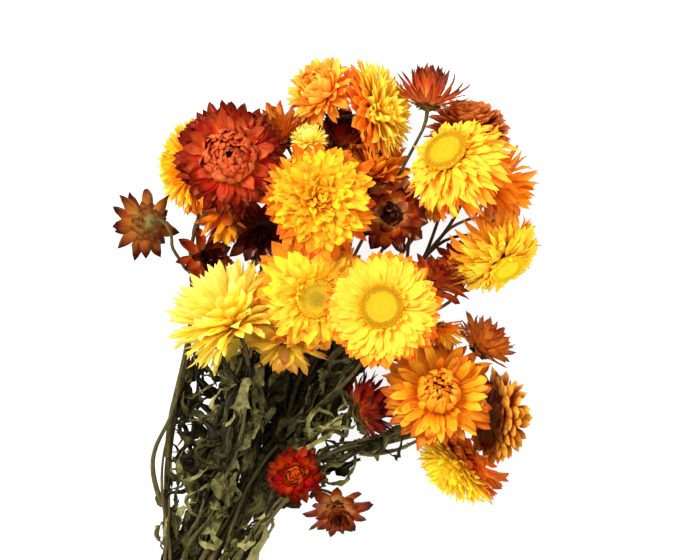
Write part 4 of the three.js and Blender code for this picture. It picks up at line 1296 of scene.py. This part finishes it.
def tube_line(node, heads):
    """The middle line of the tube that a node starts with, from its free end. heads lists
    the middles and radii of the heads at the node's other end."""
    points, joined = welded(node)
    inside = [
        i for i, point in enumerate(points)
        if any(np.linalg.norm(point - c) < HEAD_MARGIN * r for c, r in heads)
    ]
    hops = hops_from(inside, joined)
    last = max(hops, key=hops.get)
    start = np.argsort(np.linalg.norm(points - points[last], axis=1))[:TUBE_SIDES]
    hops = hops_from([int(i) for i in start], joined)
    line, first = [], None
    for level in range(max(hops.values()) + 1):
        ring = points[[i for i, hop in hops.items() if hop == level]]
        spread = np.linalg.norm(ring - ring.mean(0), axis=1).mean()
        first = first or spread
        if len(ring) != TUBE_SIDES or spread > SWELLING * first:
            break
        line.append(ring.mean(0))
    return np.array(line)


def heads_on(name):
    """The middles and radii of a head and of the head that forks off its twig."""
    rows = [row for row in HEADS if name in (row[0], TWINS.get(row[0]))]
    return [(np.array(row[1]) + SHIFT, row[4]) for row in rows]


LINES = {}
for name, *_ in HEADS:
    if name not in TWINS:
        node = f"stem_{name}" if f"stem_{name}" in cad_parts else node_of(name)
        LINES[name] = tube_line(node, heads_on(name))
print("rings read:", {name: len(line) for name, line in LINES.items()})

# %% [markdown]
# ### Smooth lines
#
# A stem's rings lie 14 mm apart, and a dried stem bends in soft curves, so we draw a
# smooth curve through their middles. The ribs of the stem have to run along it without
# winding round it, so each step takes over the sides of the step before and turns them
# no more than the line itself turns.

# %% Smooth lines and the sides along them
NO_STEM_WAY = [0.31, 0.2, 0.93]  # no stem starts along this way


def smooth_line(line, count):
    """Evenly spaced points on the smooth curve through a line's points."""
    line = np.asarray(line, float)
    at = np.linspace(0, len(line) - 1, 10 * count)
    i = np.minimum(at.astype(int), len(line) - 2)
    f = (at - i)[:, None]
    slope = np.gradient(line, axis=0)
    curve = (
        (2 * f**3 - 3 * f**2 + 1) * line[i] + (f**3 - 2 * f**2 + f) * slope[i]
        + (3 * f**2 - 2 * f**3) * line[i + 1] + (f**3 - f**2) * slope[i + 1]
    )
    walked = np.concatenate([[0], np.cumsum(np.linalg.norm(np.diff(curve, axis=0), axis=1))])
    even = np.linspace(0, walked[-1], count)
    return np.stack([np.interp(even, walked, curve[:, k]) for k in range(3)], 1)


def carried_sides(line):
    """Two sides along a line, square to it and to each other."""
    tangent = unit(np.gradient(line, axis=0))
    side = np.zeros_like(line)
    side[0] = unit(np.cross(tangent[0], NO_STEM_WAY))
    for i in range(1, len(line)):
        side[i] = unit(side[i - 1] - tangent[i] * (side[i - 1] @ tangent[i]))
    return side, np.cross(tangent, side)


steps = np.diff(smooth_line(LINES["ember_double"], 64), axis=0)
print("a stem read from its rings is", np.linalg.norm(steps, axis=1).sum().round(0), "mm long")

# %% Tubes along a line
RIBS = 5
TUBE_CLEAR = 0.05  # a tube's points stay this high, in mm


def add_tube(pile, line, radius, sides, ribs, kind=0, luck=0.5):
    """A closed tube along a line. radius is one number or one for each point, and ribs is
    how high the ribs stand, as a share of it."""
    count = len(line)
    side, other = carried_sides(line)
    angle = np.arange(sides) / sides * 2 * math.pi
    size = np.broadcast_to(radius, count)[:, None] * (1 + ribs * np.cos(RIBS * angle)[None])
    rings = line[:, None] + size[..., None] * (
        np.cos(angle)[None, :, None] * side[:, None] + np.sin(angle)[None, :, None] * other[:, None]
    )
    points = np.vstack([rings.reshape(-1, 3), line[:1], line[-1:]])
    points[:, 2] = np.maximum(points[:, 2], TUBE_CLEAR)
    k = np.arange(sides)
    n = (k + 1) % sides
    walls = np.vstack([np.stack([k, n, n + sides, k + sides], 1) + i * sides for i in range(count - 1)])
    last = (count - 1) * sides
    foot = np.stack([n, k, np.full(sides, count * sides)], 1)
    lid = np.stack([last + k, last + n, np.full(sides, count * sides + 1)], 1)
    notes = np.zeros((len(points), 4))
    notes[:-2, 0] = np.repeat(np.linspace(0, 1, count), sides)
    notes[:-2, 1] = np.tile(np.cos(angle), count)
    notes[-1, 0] = 1
    notes[:, 3] = luck
    pile.add(points, notes, [walls, foot, lid], kind)


trial = Pile()
add_tube(trial, LINES["ember_double"], 1.5, sides=12, ribs=0.0)
print("a plain tube through the same rings has", trial.count, "points")

# %% [markdown]
# ## The stems' finish
#
# The skin of a dried stem is brown-olive straw with darker and lighter fibres that run
# along it. It is woolly in the grooves and worn smooth on the ribs, so the eye sees a dull
# surface with soft, broken lights: a roughness of 0.6, weak reflections and no metal. The
# fibres follow the note along the stem slowly and the note round it fast, as the bracts'
# veins do. A real fibre is about 0.1 mm wide, which the picture can't show, so they are
# drawn 0.5 mm wide and 20 mm long.

# %% The stem material
STEM_WIDTH, STEM_LENGTH = 3.52, 288.0
FIBRE_WIDTH, FIBRE_LENGTH, FIBRE_DEPTH = 0.5, 20.0, 0.25  # mm
STEMS_APART = 97.6  # how far apart in the noise two stems can lie
STEM_ROUGHNESS, STEM_SHINE = 0.6, 0.2


def stem_material(name, stops):
    """Dry straw with fibres in the colours of stops, from the darkest to the lightest."""
    material, tree = new_material(name)
    fibres_across, fibres_along = STEM_WIDTH / FIBRE_WIDTH, STEM_LENGTH / FIBRE_LENGTH
    where = lengthwise(tree, notes_of(tree), fibres_across, fibres_along, STEMS_APART)
    fibres = add(tree, "TexNoise", Vector=where, Scale=1.0, Detail=4.0, Roughness=0.6)
    colour = add(tree, "ValToRGB", {"stops": stops}, Fac=fibres)
    bump = add(tree, "Bump", Strength=0.8, Distance=FIBRE_DEPTH * MM, Height=fibres)
    skin = add(tree, "BsdfPrincipled", Base_Color=colour, Roughness=STEM_ROUGHNESS,
               IOR=CELLULOSE_IOR, Specular_IOR_Level=STEM_SHINE, Normal=bump)
    add(tree, "OutputMaterial", Surface=skin)
    return material


STRAW = stem_material("dried ribbed stem", [
    (0.3, "#1e1608"), (0.48, "#3e3216"), (0.62, "#5a4a20"), (0.8, "#746232"),
])
TWIG = stem_material("dried side twig", [(0.3, "#2a220e"), (0.5, "#4a421e"), (0.7, "#6c6234")])
print("fibres across a stem:", round(STEM_WIDTH / FIBRE_WIDTH, 1))

# %% [markdown]
# ## The stems
#
# A stem is thickest at its cut end and thins towards its head, where it swells again into
# the knob. Where a leaf or a twig once sat there is a knot, a slight thickening every
# 25 mm or so.

# %% Stems from the band to the heads
STEM_POINTS, STEM_SIDES, STEM_RIBS = 64, 12, 0.07
STEM_RADII = [0, 0.25, 0.6, 0.92, 1], [2.0, 1.8, 1.15, 0.75, 1.0]  # shares of the way, mm
KNOTS = np.arange(0.24, 0.9, 0.085)  # shares of the way
KNOT_HEIGHT, KNOT_HALF = 0.45, 0.008  # in mm, and as a share of the way
WAVES, WAVE_HEIGHT, SHRINKING = 40, 0.05, 0.015  # radians, and two shares of the radius
KNOB_FOOT = 0.41  # how far behind its middle a head's knob meets the stem, in head radii
BEFORE_KNOB, PAST_KNOB = 0.8, 0.5  # where a line's last two points lie from there, in mm
TUBE_CREASE = 70  # degrees
STEM_SEED = 400  # the first stem's
PATHS = {}


def back_of(name):
    """Where a head's stem meets its knob, and the way that its face looks."""
    for other, middle, heading, tilt, radius, *_ in HEADS:
        if other == name:
            face = head_axes(heading, tilt)[:, 2]
            return np.array(middle) + SHIFT - face * radius * KNOB_FOOT, face


for index, (name, *_) in enumerate(HEADS):
    if f"stem_{name}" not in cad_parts:
        continue
    rng = np.random.default_rng(STEM_SEED + index)
    back, face = back_of(name)
    line = np.vstack([LINES[name][:-1], back - face * BEFORE_KNOB, back + face * PAST_KNOB])
    PATHS[name] = smooth_line(line, STEM_POINTS)
    share = np.linspace(0, 1, STEM_POINTS)
    radii = np.interp(share, *STEM_RADII)
    shrunk = rng.normal(0, SHRINKING, STEM_POINTS)
    radii = radii * (1 + WAVE_HEIGHT * np.sin(share * WAVES + index) + shrunk)
    for knot in KNOTS + rng.uniform(-0.03, 0.03, 8)[0]:
        radii = radii + KNOT_HEIGHT * np.exp(-(((share - knot) / KNOT_HALF) ** 2))
    pile = Pile()
    add_tube(pile, PATHS[name], radii, STEM_SIDES, STEM_RIBS, luck=rng.uniform())
    pile.piece(f"dried_stem_{name}", [STRAW], "stem", f"stem_{name}", crease=TUBE_CREASE)
STEMS = list(PATHS.values())
print("stems:", len(STEMS), "with", sum(v for k, v in TRIANGLES.items() if "dried_stem" in k), "triangles")

# %% [markdown]
# ## The twigs
#
# The smaller heads sit on side twigs. A twig starts on the stem that is nearest to the
# free end of its packed tube, follows the tube, and bends over to the back of its head. In
# a spray the second head's twig forks off the first one's, along the way that this goes.

# %% Twigs from the stems to the smaller heads
TWIG_POINTS, TWIG_SIDES, TWIG_RIBS = 26, 8, 0.06
TWIG_RADII = [0, 0.06, 0.9, 1], [1.2, 0.85, 0.7, 1.0]  # shares of the way, and mm
FORK_POINTS, BEND_POINTS = 10, 5
TOUCHING = 3.0  # a tube that ends this near its head needs no bend of its own, in mm


def bend(start, start_way, end, end_way, count):
    """Points on a smooth bend between two places, each left along its own way."""
    reach = np.linalg.norm(end - start)
    a, b, c, d = start, start + start_way * reach * 0.4, end - end_way * reach * 0.4, end
    t = np.linspace(0, 1, count)[:, None]
    return (1 - t) ** 3 * a + 3 * (1 - t) ** 2 * t * b + 3 * (1 - t) * t**2 * c + t**3 * d


def forked_twig(name, back, face):
    """The line of a twig that forks off the twig of its spray's first head."""
    carrier = PATHS[TWINS[name]]
    fork = int(TWIN_FORKS[name] * (len(carrier) - 1))
    return bend(carrier[fork], unit(carrier[fork + 1] - carrier[fork]), back, face, FORK_POINTS)


def side_twig(name, back, face):
    """The line of a twig that starts on the nearest stem and follows its packed tube."""
    line = LINES[name]
    spots = [stem[np.argmin(np.linalg.norm(stem - line[0], axis=1))] for stem in STEMS]
    nearest = min(spots, key=lambda spot: np.linalg.norm(spot - line[0]))
    line = np.vstack([nearest, line])
    if np.linalg.norm(back - line[-1]) > TOUCHING:
        last = bend(line[-1], unit(line[-1] - line[-2]), back, face, BEND_POINTS)[1:]
    else:
        last = [back]
    return np.vstack([line, last])


for index, (name, *_) in enumerate(HEADS):
    if name in PATHS:
        continue
    back, face = back_of(name)
    line = forked_twig(name, back, face) if name in TWINS else side_twig(name, back, face)
    PATHS[name] = smooth_line(np.vstack([line, back + face * PAST_KNOB]), TWIG_POINTS)
    radii = np.interp(np.linspace(0, 1, TWIG_POINTS), *TWIG_RADII)
    pile = Pile()
    add_tube(pile, PATHS[name], radii, TWIG_SIDES, TWIG_RIBS, luck=(index * 0.37) % 1)
    pile.piece(f"side_twig_{name}", [TWIG], "stem", node_of(name), crease=TUBE_CREASE)
print("twigs:", len(PATHS) - len(STEMS))

# %% [markdown]
# ## Shrivelled leaves
#
# A strawflower's leaf is a narrow lance, soft and a little woolly. It dries without
# support, so it hangs along the stem, rolls its edges inwards and twists. A flat leaf
# shape with a picture of a leaf on it would look like a paper cut-out from the side.
#
# So each leaf is a strip whose cross-section is an arc. First comes its spine: it starts
# on a stem, runs along it, mostly back towards the cut ends, and arches off it and comes
# near it again. Many spines hook back on themselves.

# %% Where a leaf runs
LEAF_STEPS = (18, 4)
LEAF_LENGTH, LEAF_WIDTH = (22, 48), (3.5, 9.5)  # the ranges, in mm
BACKWARDS = 0.65  # the share of the leaves that point to the cut ends
ALL_ROUND = (0, 6.28)  # radians
NEAREST = 0.8  # how near a spine may come to its stem's middle, in mm


def along_stem(path, place):
    """Points on a stem at places counted in points of its path, and the way left of the
    stem and the way up from it."""
    place = np.clip(place, 0, len(path) - 1.001)
    i = place.astype(int)
    spot = path[i] + (path[i + 1] - path[i]) * (place - i)[..., None]
    tangent = unit(path[i + 1] - path[i])
    left = unit(np.cross([0, 0, 1.0], tangent))
    return spot, left, np.cross(tangent, left)


def leaf_spines(path, along, spread, scale, far, around, share, rng, draw, wave):
    """The spines of a stretch's leaves in mm, and their ways off the stem."""
    long = draw(*LEAF_LENGTH) * scale
    spacing = np.linalg.norm(np.diff(path, axis=0), axis=1).mean()
    way = rng.choice([-1, 1], long.shape, p=[BACKWARDS, 1 - BACKWARDS])
    hook = share - draw(0, 1.5) * np.maximum(share - draw(0.4, 0.8), 0) ** 1.5
    hook = hook + 0.05 * wave(6, 12)
    start = draw(along - spread, along + spread) * (len(path) - 1)
    spot, left, up = along_stem(path, start + way * hook * long / spacing * draw(0.5, 0.95))
    distance = 1.2 + draw(1, far) * np.sin(math.pi * share**0.8 * draw(0.5, 1.0))
    distance = distance + draw(0.3, 1.2) * wave(5, 12)
    turn = draw(*around) + draw(-1.2, 1.2) * share + draw(0.1, 0.3) * wave(5, 10)
    out = left * np.cos(turn)[..., None] + up * np.sin(turn)[..., None]
    spine = spot + out * np.maximum(distance, NEAREST)[..., None]
    return spine + rng.normal(0, 0.18, (*turn.shape, 3)), out


_, left, up = along_stem(np.array([[0, 0, 0], [0, 1, 0], [0, 2, 0.0]]), np.array([0.5]))
print("off a stem that points away from us, left is", left[0], "and up is", up[0])

# %% [markdown]
# Then the strip itself: it is narrow at both ends, twists as it goes, is rolled more or
# less tightly from place to place, and is crumpled and frayed at its edges.

# %% How a leaf twists, rolls and crumples
FRAYED_RIM = 0.9  # only points further out than this fray, where the rim has 1
LEAST_ROLL, MOST_ROLL = 0.15, 2.8  # half the arc of the cross-section, in radians


def leaf_surfaces(path, along, spread, count, rng, scale=1.0, far=9, around=ALL_ROUND):
    """Middle surfaces in mm of shrivelled leaves round a stretch of a stem, and their
    notes. far is how many mm from the stem a leaf may get, and around is the range of
    its way off the stem in radians, where 0 is left, 1.57 up and 3.14 right."""
    rows, columns = LEAF_STEPS
    share = np.linspace(0, 1, rows + 1)[None]

    def draw(low, high, *more):
        return rng.uniform(low, high, (count, 1, *more))

    def wave(low, high):
        return np.sin(draw(low, high) * share + draw(0, 6))

    spine, out = leaf_spines(path, along, spread, scale, far, around, share, rng, draw, wave)
    heading = unit(np.gradient(spine, axis=1))
    side = unit(np.cross(heading, out))
    normal = np.cross(side, heading)
    twist = (draw(-0.7, 0.7) + draw(-2.8, 2.8) * share + draw(0.2, 0.7) * wave(4, 9))[..., None]
    side, normal = (
        side * np.cos(twist) + normal * np.sin(twist),
        normal * np.cos(twist) - side * np.sin(twist),
    )
    v, s = np.linspace(-1, 1, columns + 1)[None, None], share[..., None]
    lance = 0.18 + 0.82 * np.maximum(np.sin(math.pi * share**0.8), 0) ** 0.8
    half = scale * draw(*LEAF_WIDTH) / 2 * lance * (1 - 0.5 * share**6)
    half = half * (0.84 + 0.22 * wave(7, 14))
    fray = 0.16 * rng.normal(0, 1, (count, rows + 1, columns + 1)) * (np.abs(v) > FRAYED_RIM)
    frayed = v * (1 + fray)
    roll = draw(0.4, 1.9, 1) + 0.8 * np.sin(draw(3, 8, 1) * s + draw(0, 6, 1))
    roll = np.clip(roll, LEAST_ROLL, MOST_ROLL)
    folds = np.sin(15 * s + 2.6 * v + draw(0, 6, 1)) * np.sin(9 * s - 3.1 * v + draw(0, 6, 1))
    crumple = (0.5 * folds + 0.3 * rng.normal(0, 1, frayed.shape)) * draw(0.3, 1.1, 1)
    aside = half[..., None] * np.sin(roll * frayed) / roll
    lift = half[..., None] * (1 - np.cos(roll * frayed)) / roll
    lift = lift + crumple * np.minimum(half, 1.8)[..., None] * 0.5
    surface = spine[:, :, None] + side[:, :, None] * aside[..., None] + normal[:, :, None] * lift[..., None]
    notes = np.stack(np.broadcast_arrays(s, v, crumple * 0.6 + 0.5, draw(0, 1, 1)), -1)
    return surface, notes


test, _ = leaf_surfaces(PATHS["ember_double"], 0.5, 0.1, 1, np.random.default_rng(1))
print("one leaf fills a box of", np.ptp(test[0].reshape(-1, 3), axis=0).round(0), "mm")

# %% [markdown]
# ## The leaves' finish
#
# A dried leaf goes the grey olive of dried herbs, with paler ribs and brown tips. Fine
# wool covers it. The eye sees that as a matt surface with hardly a highlight, so the
# roughness is 0.7, the reflections are weak, and there is no metal. A little light still
# comes through. A leaf dries in patches, lighter and darker ones about 5 mm wide. The
# darkest of them, nearly black, are painted shade, and the palest are painted highlight,
# so that the leaf mass keeps deep shadows and bright folds under even light. The
# wool's hairs are 0.02 mm thick, too fine to show, so it is drawn as grains of 0.9 mm.

# %% The leaf material
FLECK, WOOL, WOOL_DEPTH = 5.0, 0.9, 0.3  # mm
LEAF_ROUGHNESS, LEAF_SHINE, LEAF_THROUGH = 0.7, 0.12, 0.1
LEAF_LUCK = 0.6  # how far a leaf's own luck moves it along the colours


def leaf_material():
    """Woolly grey olive tissue with brown tips and a paler rib."""
    material, tree = new_material("dried grey olive leaf")
    share, side, _, luck = notes_of(tree)
    where = add(tree, "NewGeometry")
    # Patches of lighter and darker olive, which also lay painted shade and painted highlight over the leaves
    patches_and_painted_shade = add(tree, "TexNoise", Vector=where, Scale=1 / (FLECK * MM), Detail=5.0, Roughness=0.7)
    wool = add(tree, "TexNoise", Vector=where, Scale=1 / (WOOL * MM), Detail=2.0)
    tone = add(tree, "Math", MULTIPLY_ADD, in_0=luck, in_1=LEAF_LUCK, in_2=patches_and_painted_shade)
    tone = add(tree, "Math", SUBTRACT, in_0=tone, in_1=LEAF_LUCK / 2)
    # The nearly black stop is painted shade and the palest is painted highlight; the leaf's own olives lie
    # between them
    olives_with_painted_shade = [(0.16, "#0c0902"), (0.38, "#26210b"), (0.58, "#504a20"), (0.8, "#989058")]
    colour = add(tree, "ValToRGB", {"stops": olives_with_painted_shade}, Fac=tone)
    brown = add(tree, "MapRange", SMOOTH, Value=share, in_1=0.7, in_2=1.05, in_3=0.0, in_4=0.6)
    colour = add(tree, "Mix", RGBA, Factor=brown, in_6=colour, in_7=linear("#4c381a")).outputs[2]
    rib = add(tree, "Math", ABSOLUTE, in_0=side)
    rib = add(tree, "MapRange", SMOOTH, Value=rib, in_1=0.16, in_2=0.0, in_3=0.0, in_4=0.45)
    colour = add(tree, "Mix", RGBA, Factor=rib, in_6=colour, in_7=linear("#6e673a")).outputs[2]
    bump = add(tree, "Bump", Strength=0.8, Distance=WOOL_DEPTH * MM, Height=wool)
    skin = add(tree, "BsdfPrincipled", Base_Color=colour, Roughness=LEAF_ROUGHNESS,
               IOR=CELLULOSE_IOR, Specular_IOR_Level=LEAF_SHINE, Normal=bump)
    glow = add(tree, "BsdfTranslucent", Color=colour)
    both = add(tree, "MixShader", in_0=LEAF_THROUGH, in_1=skin, in_2=glow)
    add(tree, "OutputMaterial", Surface=both)
    return material


LEAF = leaf_material()
print("leaf finish:", LEAF.name)

# %% [markdown]
# ## Leaves along the stems
#
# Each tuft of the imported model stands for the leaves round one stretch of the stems. Among
# the leaves run thin shoots that never grew a leaf or lost them all. Without them the
# leaves would look like a loose heap, so every stretch gets one: it winds over the stem
# and comes back to it.

# %% A leafless shoot
SHOOT_POINTS, SHOOT_SIDES, SHOOT_RIBS = 18, 7, 0.05
LEAVES, SHOOTS = range(2)  # the kinds of shape in a tuft, in the order of the materials


def add_shoot(pile, path, along, rng):
    """A thin leafless shoot that winds over a stretch of a stem."""
    share = np.linspace(-1, 1, SHOOT_POINTS)
    spot, left, up = along_stem(path, (along + share * rng.uniform(0.08, 0.15)) * (len(path) - 1))
    turn = rng.uniform(0.5, 2.6) + 0.5 * np.sin(share * rng.uniform(1, 3) + rng.uniform(0, 6))
    away = 2.5 + rng.uniform(2, 6.5) * (1 - share**2)
    line = spot + (left * np.cos(turn)[:, None] + up * np.sin(turn)[:, None]) * away[:, None]
    radii = rng.uniform(0.7, 1.1) * (1 - 0.35 * share)
    add_tube(pile, line, radii, SHOOT_SIDES, SHOOT_RIBS, SHOOTS, rng.uniform())


trial = Pile()
add_shoot(trial, PATHS["ember_double"], 0.5, np.random.default_rng(1))
print("a shoot has", trial.count, "points")

# %% Tuft by tuft
LEAF_PAPER = 0.3  # a leaf's thickness in mm
LEAF_SPREAD = 0.09  # how much of a stem's length lies on either side of a stretch's middle
LEFT, RIGHT = (-1, 1), (2.2, 4.2)  # ranges of the way off a stem, in radians
TUFT_SEED = 700  # the first tuft's
TUFTS = {
    # The tuft's node, and its stretches: the stem, how far up it, how many leaves, and for
    # some their size, how far from the stem they may get, and on which side.
    "leaves_left_high": [
        ("lemon_back_left", 0.82, 30), ("lemon_crest_top", 0.6, 14), ("gold_double", 0.68, 12),
        ("black_plum_mid", 0.5, 12, 0.6), ("ember_double", 0.62, 16, 0.9, 22, RIGHT),
        ("lemon_back_left", 0.84, 18, 1, 22, LEFT),
    ],
    "leaves_left_mid": [
        ("lemon_back_left", 0.68, 34), ("lemon_crest_top", 0.54, 12), ("amber_top_left", 0.46, 10),
        ("ember_double", 0.52, 18, 0.9, 22, RIGHT), ("lemon_back_left", 0.7, 20, 1, 24, LEFT),
    ],
    "leaves_left_low": [
        ("lemon_back_left", 0.5, 26), ("ember_double", 0.41, 9, 0.6), ("ember_double", 0.33, 14, 0.8),
    ],
    "leaves_front_high": [
        ("lemon_back_left", 0.74, 20), ("gold_double", 0.62, 22), ("amber_top_left", 0.58, 12),
        ("lemon_crest_top", 0.7, 16), ("lemon_crest_top", 0.77, 8, 0.8),
    ],
    "leaves_front_left": [
        ("lemon_back_left", 0.58, 26), ("lemon_crest_top", 0.44, 18), ("amber_top_left", 0.38, 10),
    ],
    "leaves_front_mid": [
        ("gold_disc_mid", 0.7, 28), ("gold_disc_mid", 0.82, 8, 0.8), ("mahogany_mid", 0.6, 24),
        ("gold_double", 0.52, 14), ("mahogany_mid", 0.7, 14), ("mahogany_mid", 0.64, 14),
    ],
    "leaves_front_low": [
        ("gold_disc_mid", 0.52, 32), ("gold_double", 0.42, 14), ("mahogany_mid", 0.46, 14),
    ],
    "leaves_right_high": [
        ("lemon_disc_front", 0.72, 28), ("rust_dome_top", 0.56, 18), ("gold_disc_right", 0.64, 18),
        ("lemon_disc_right", 0.6, 14), ("gold_disc_right", 0.7, 10), ("lemon_disc_front", 0.8, 12, 0.8),
    ],
    "leaves_right_mid": [
        ("amber_double", 0.7, 22), ("amber_double", 0.77, 8, 0.7), ("lemon_disc_front", 0.55, 18),
        ("crimson_mid_low", 0.5, 12, 0.7), ("crimson_mid_low", 0.86, 12, 0.8, 14),
    ],
    "leaves_right_low": [
        ("lemon_low_right", 0.46, 16), ("rust_dome_top", 0.42, 12), ("amber_double", 0.5, 12),
    ],
}
for index, (node, stretches) in enumerate(TUFTS.items()):
    rng = np.random.default_rng(TUFT_SEED + index)
    pile = Pile()
    for stem, along, count, *more in stretches:
        surface, notes = leaf_surfaces(PATHS[stem], along, LEAF_SPREAD, count, rng, *more)
        add_sheets(pile, surface, LEAF_PAPER, notes, LEAVES)
        add_shoot(pile, PATHS[stem], along, rng)
    pile.piece(f"dried_{node}", [LEAF, TWIG], "leaf", node)
print("leaves:", sum(stretch[2] for stretches in TUFTS.values() for stretch in stretches))
print("leaf triangles:", sum(v for k, v in TRIANGLES.items() if "leaves" in k))

# %% [markdown]
# ## The rubber's finish
#
# A plain tan rubber band is matt: its skin is full of pits far smaller than the eye can
# see, so it has a broad, weak highlight, which a roughness of 0.55 gives. It isn't metal.
# Old rubber also has a dusty bloom in patches of 2 or 3 mm, a little paler than the rest.

# %% The rubber material
BLOOM, BLOOM_DEPTH = 2.5, 0.08  # mm
RUBBER_IOR, RUBBER_ROUGHNESS = 1.5, 0.55


def rubber_material():
    """Matt tan rubber with a dusty bloom."""
    material, tree = new_material("matt tan rubber")
    bloom = add(tree, "TexNoise", Vector=add(tree, "NewGeometry"), Scale=1 / (BLOOM * MM), Detail=4.0)
    tans = [(0.35, "#a97c48"), (0.55, "#c79a62"), (0.75, "#d6b484")]
    colour = add(tree, "ValToRGB", {"stops": tans}, Fac=bloom)
    bump = add(tree, "Bump", Strength=0.5, Distance=BLOOM_DEPTH * MM, Height=bloom)
    skin = add(tree, "BsdfPrincipled", Base_Color=colour, Roughness=RUBBER_ROUGHNESS,
               IOR=RUBBER_IOR, Normal=bump)
    add(tree, "OutputMaterial", Surface=skin)
    return material


RUBBER = rubber_material()
print("band finish:", RUBBER.name)

# %% [markdown]
# ## The rubber band
#
# The band goes round the stems four times. It is a loop of nearly square section about
# 1.5 mm wide, so each turn shows as a cord of its own, and where it was pulled over itself
# the turns lie a little askew. We could wind one long spiral, but a band has no ends to
# show, so four closed rings side by side look the same and are simpler.

# %% Four turns of a rubber band
TURNS, BAND_RADIUS, BAND_WIDTH, BAND_GAP = 4, 11.5, 1.5, 0.15  # the last three in mm
BAND_LEAN = math.radians(-107)  # the way from the band to the cut ends, in plan
BAND_STEPS, BAND_SIDES, BAND_CLEAR = 64, 8, 0.02  # the last keeps it off the table, in mm


def add_loop(pile, centre, along, radius, half, tilt, wave, luck):
    """A closed ring of nearly square section round a centre."""
    steps, sides = BAND_STEPS, BAND_SIDES
    a = np.arange(steps) / steps * 2 * math.pi
    across, up = unit(np.cross([0, 0, 1.0], along)), np.array([0, 0, 1.0])
    out = np.cos(a)[:, None] * across + np.sin(a)[:, None] * up
    askew = tilt * np.sin(a + wave) + 0.25 * np.sin(3 * a + wave)
    middle = centre + out * radius + along * askew[:, None]
    corner = np.arange(sides) / sides * 2 * math.pi + math.pi / sides
    square = 1 / np.maximum(np.abs(np.cos(corner)), np.abs(np.sin(corner))) ** 0.6
    ring = half * square[:, None] * np.stack([np.cos(corner), np.sin(corner)], 1)
    points = middle[:, None] + ring[None, :, :1] * out[:, None] + ring[None, :, 1:] * along
    points[..., 2] = np.maximum(points[..., 2], BAND_CLEAR)
    k = np.arange(sides)
    n = (k + 1) % sides
    rows = [(i * sides, (i + 1) % steps * sides) for i in range(steps)]
    faces = np.vstack([np.stack([k + here, k + there, n + there, n + here], 1) for here, there in rows])
    notes = np.full((steps * sides, 4), luck)
    pile.add(points.reshape(-1, 3), notes, [faces])


pile = Pile()
toward_cut = np.array([math.cos(BAND_LEAN), math.sin(BAND_LEAN), 0])
for turn in range(TURNS):
    offset = (turn - (TURNS - 1) / 2) * (BAND_WIDTH + BAND_GAP)
    centre, tilt = band_middle + toward_cut * offset, 0.5 * math.sin(turn * 2.1)
    add_loop(pile, centre, toward_cut, BAND_RADIUS, BAND_WIDTH / 2, tilt, turn * 1.7, turn / TURNS)
pile.piece("rubber_band_turns", [RUBBER], "rubber_band", "rubber_band")
print("all triangles:", sum(TRIANGLES.values()))

# %% [markdown]
# ## Sizes
#
# Bracts and leaves may stand a little proud of the imported solids.
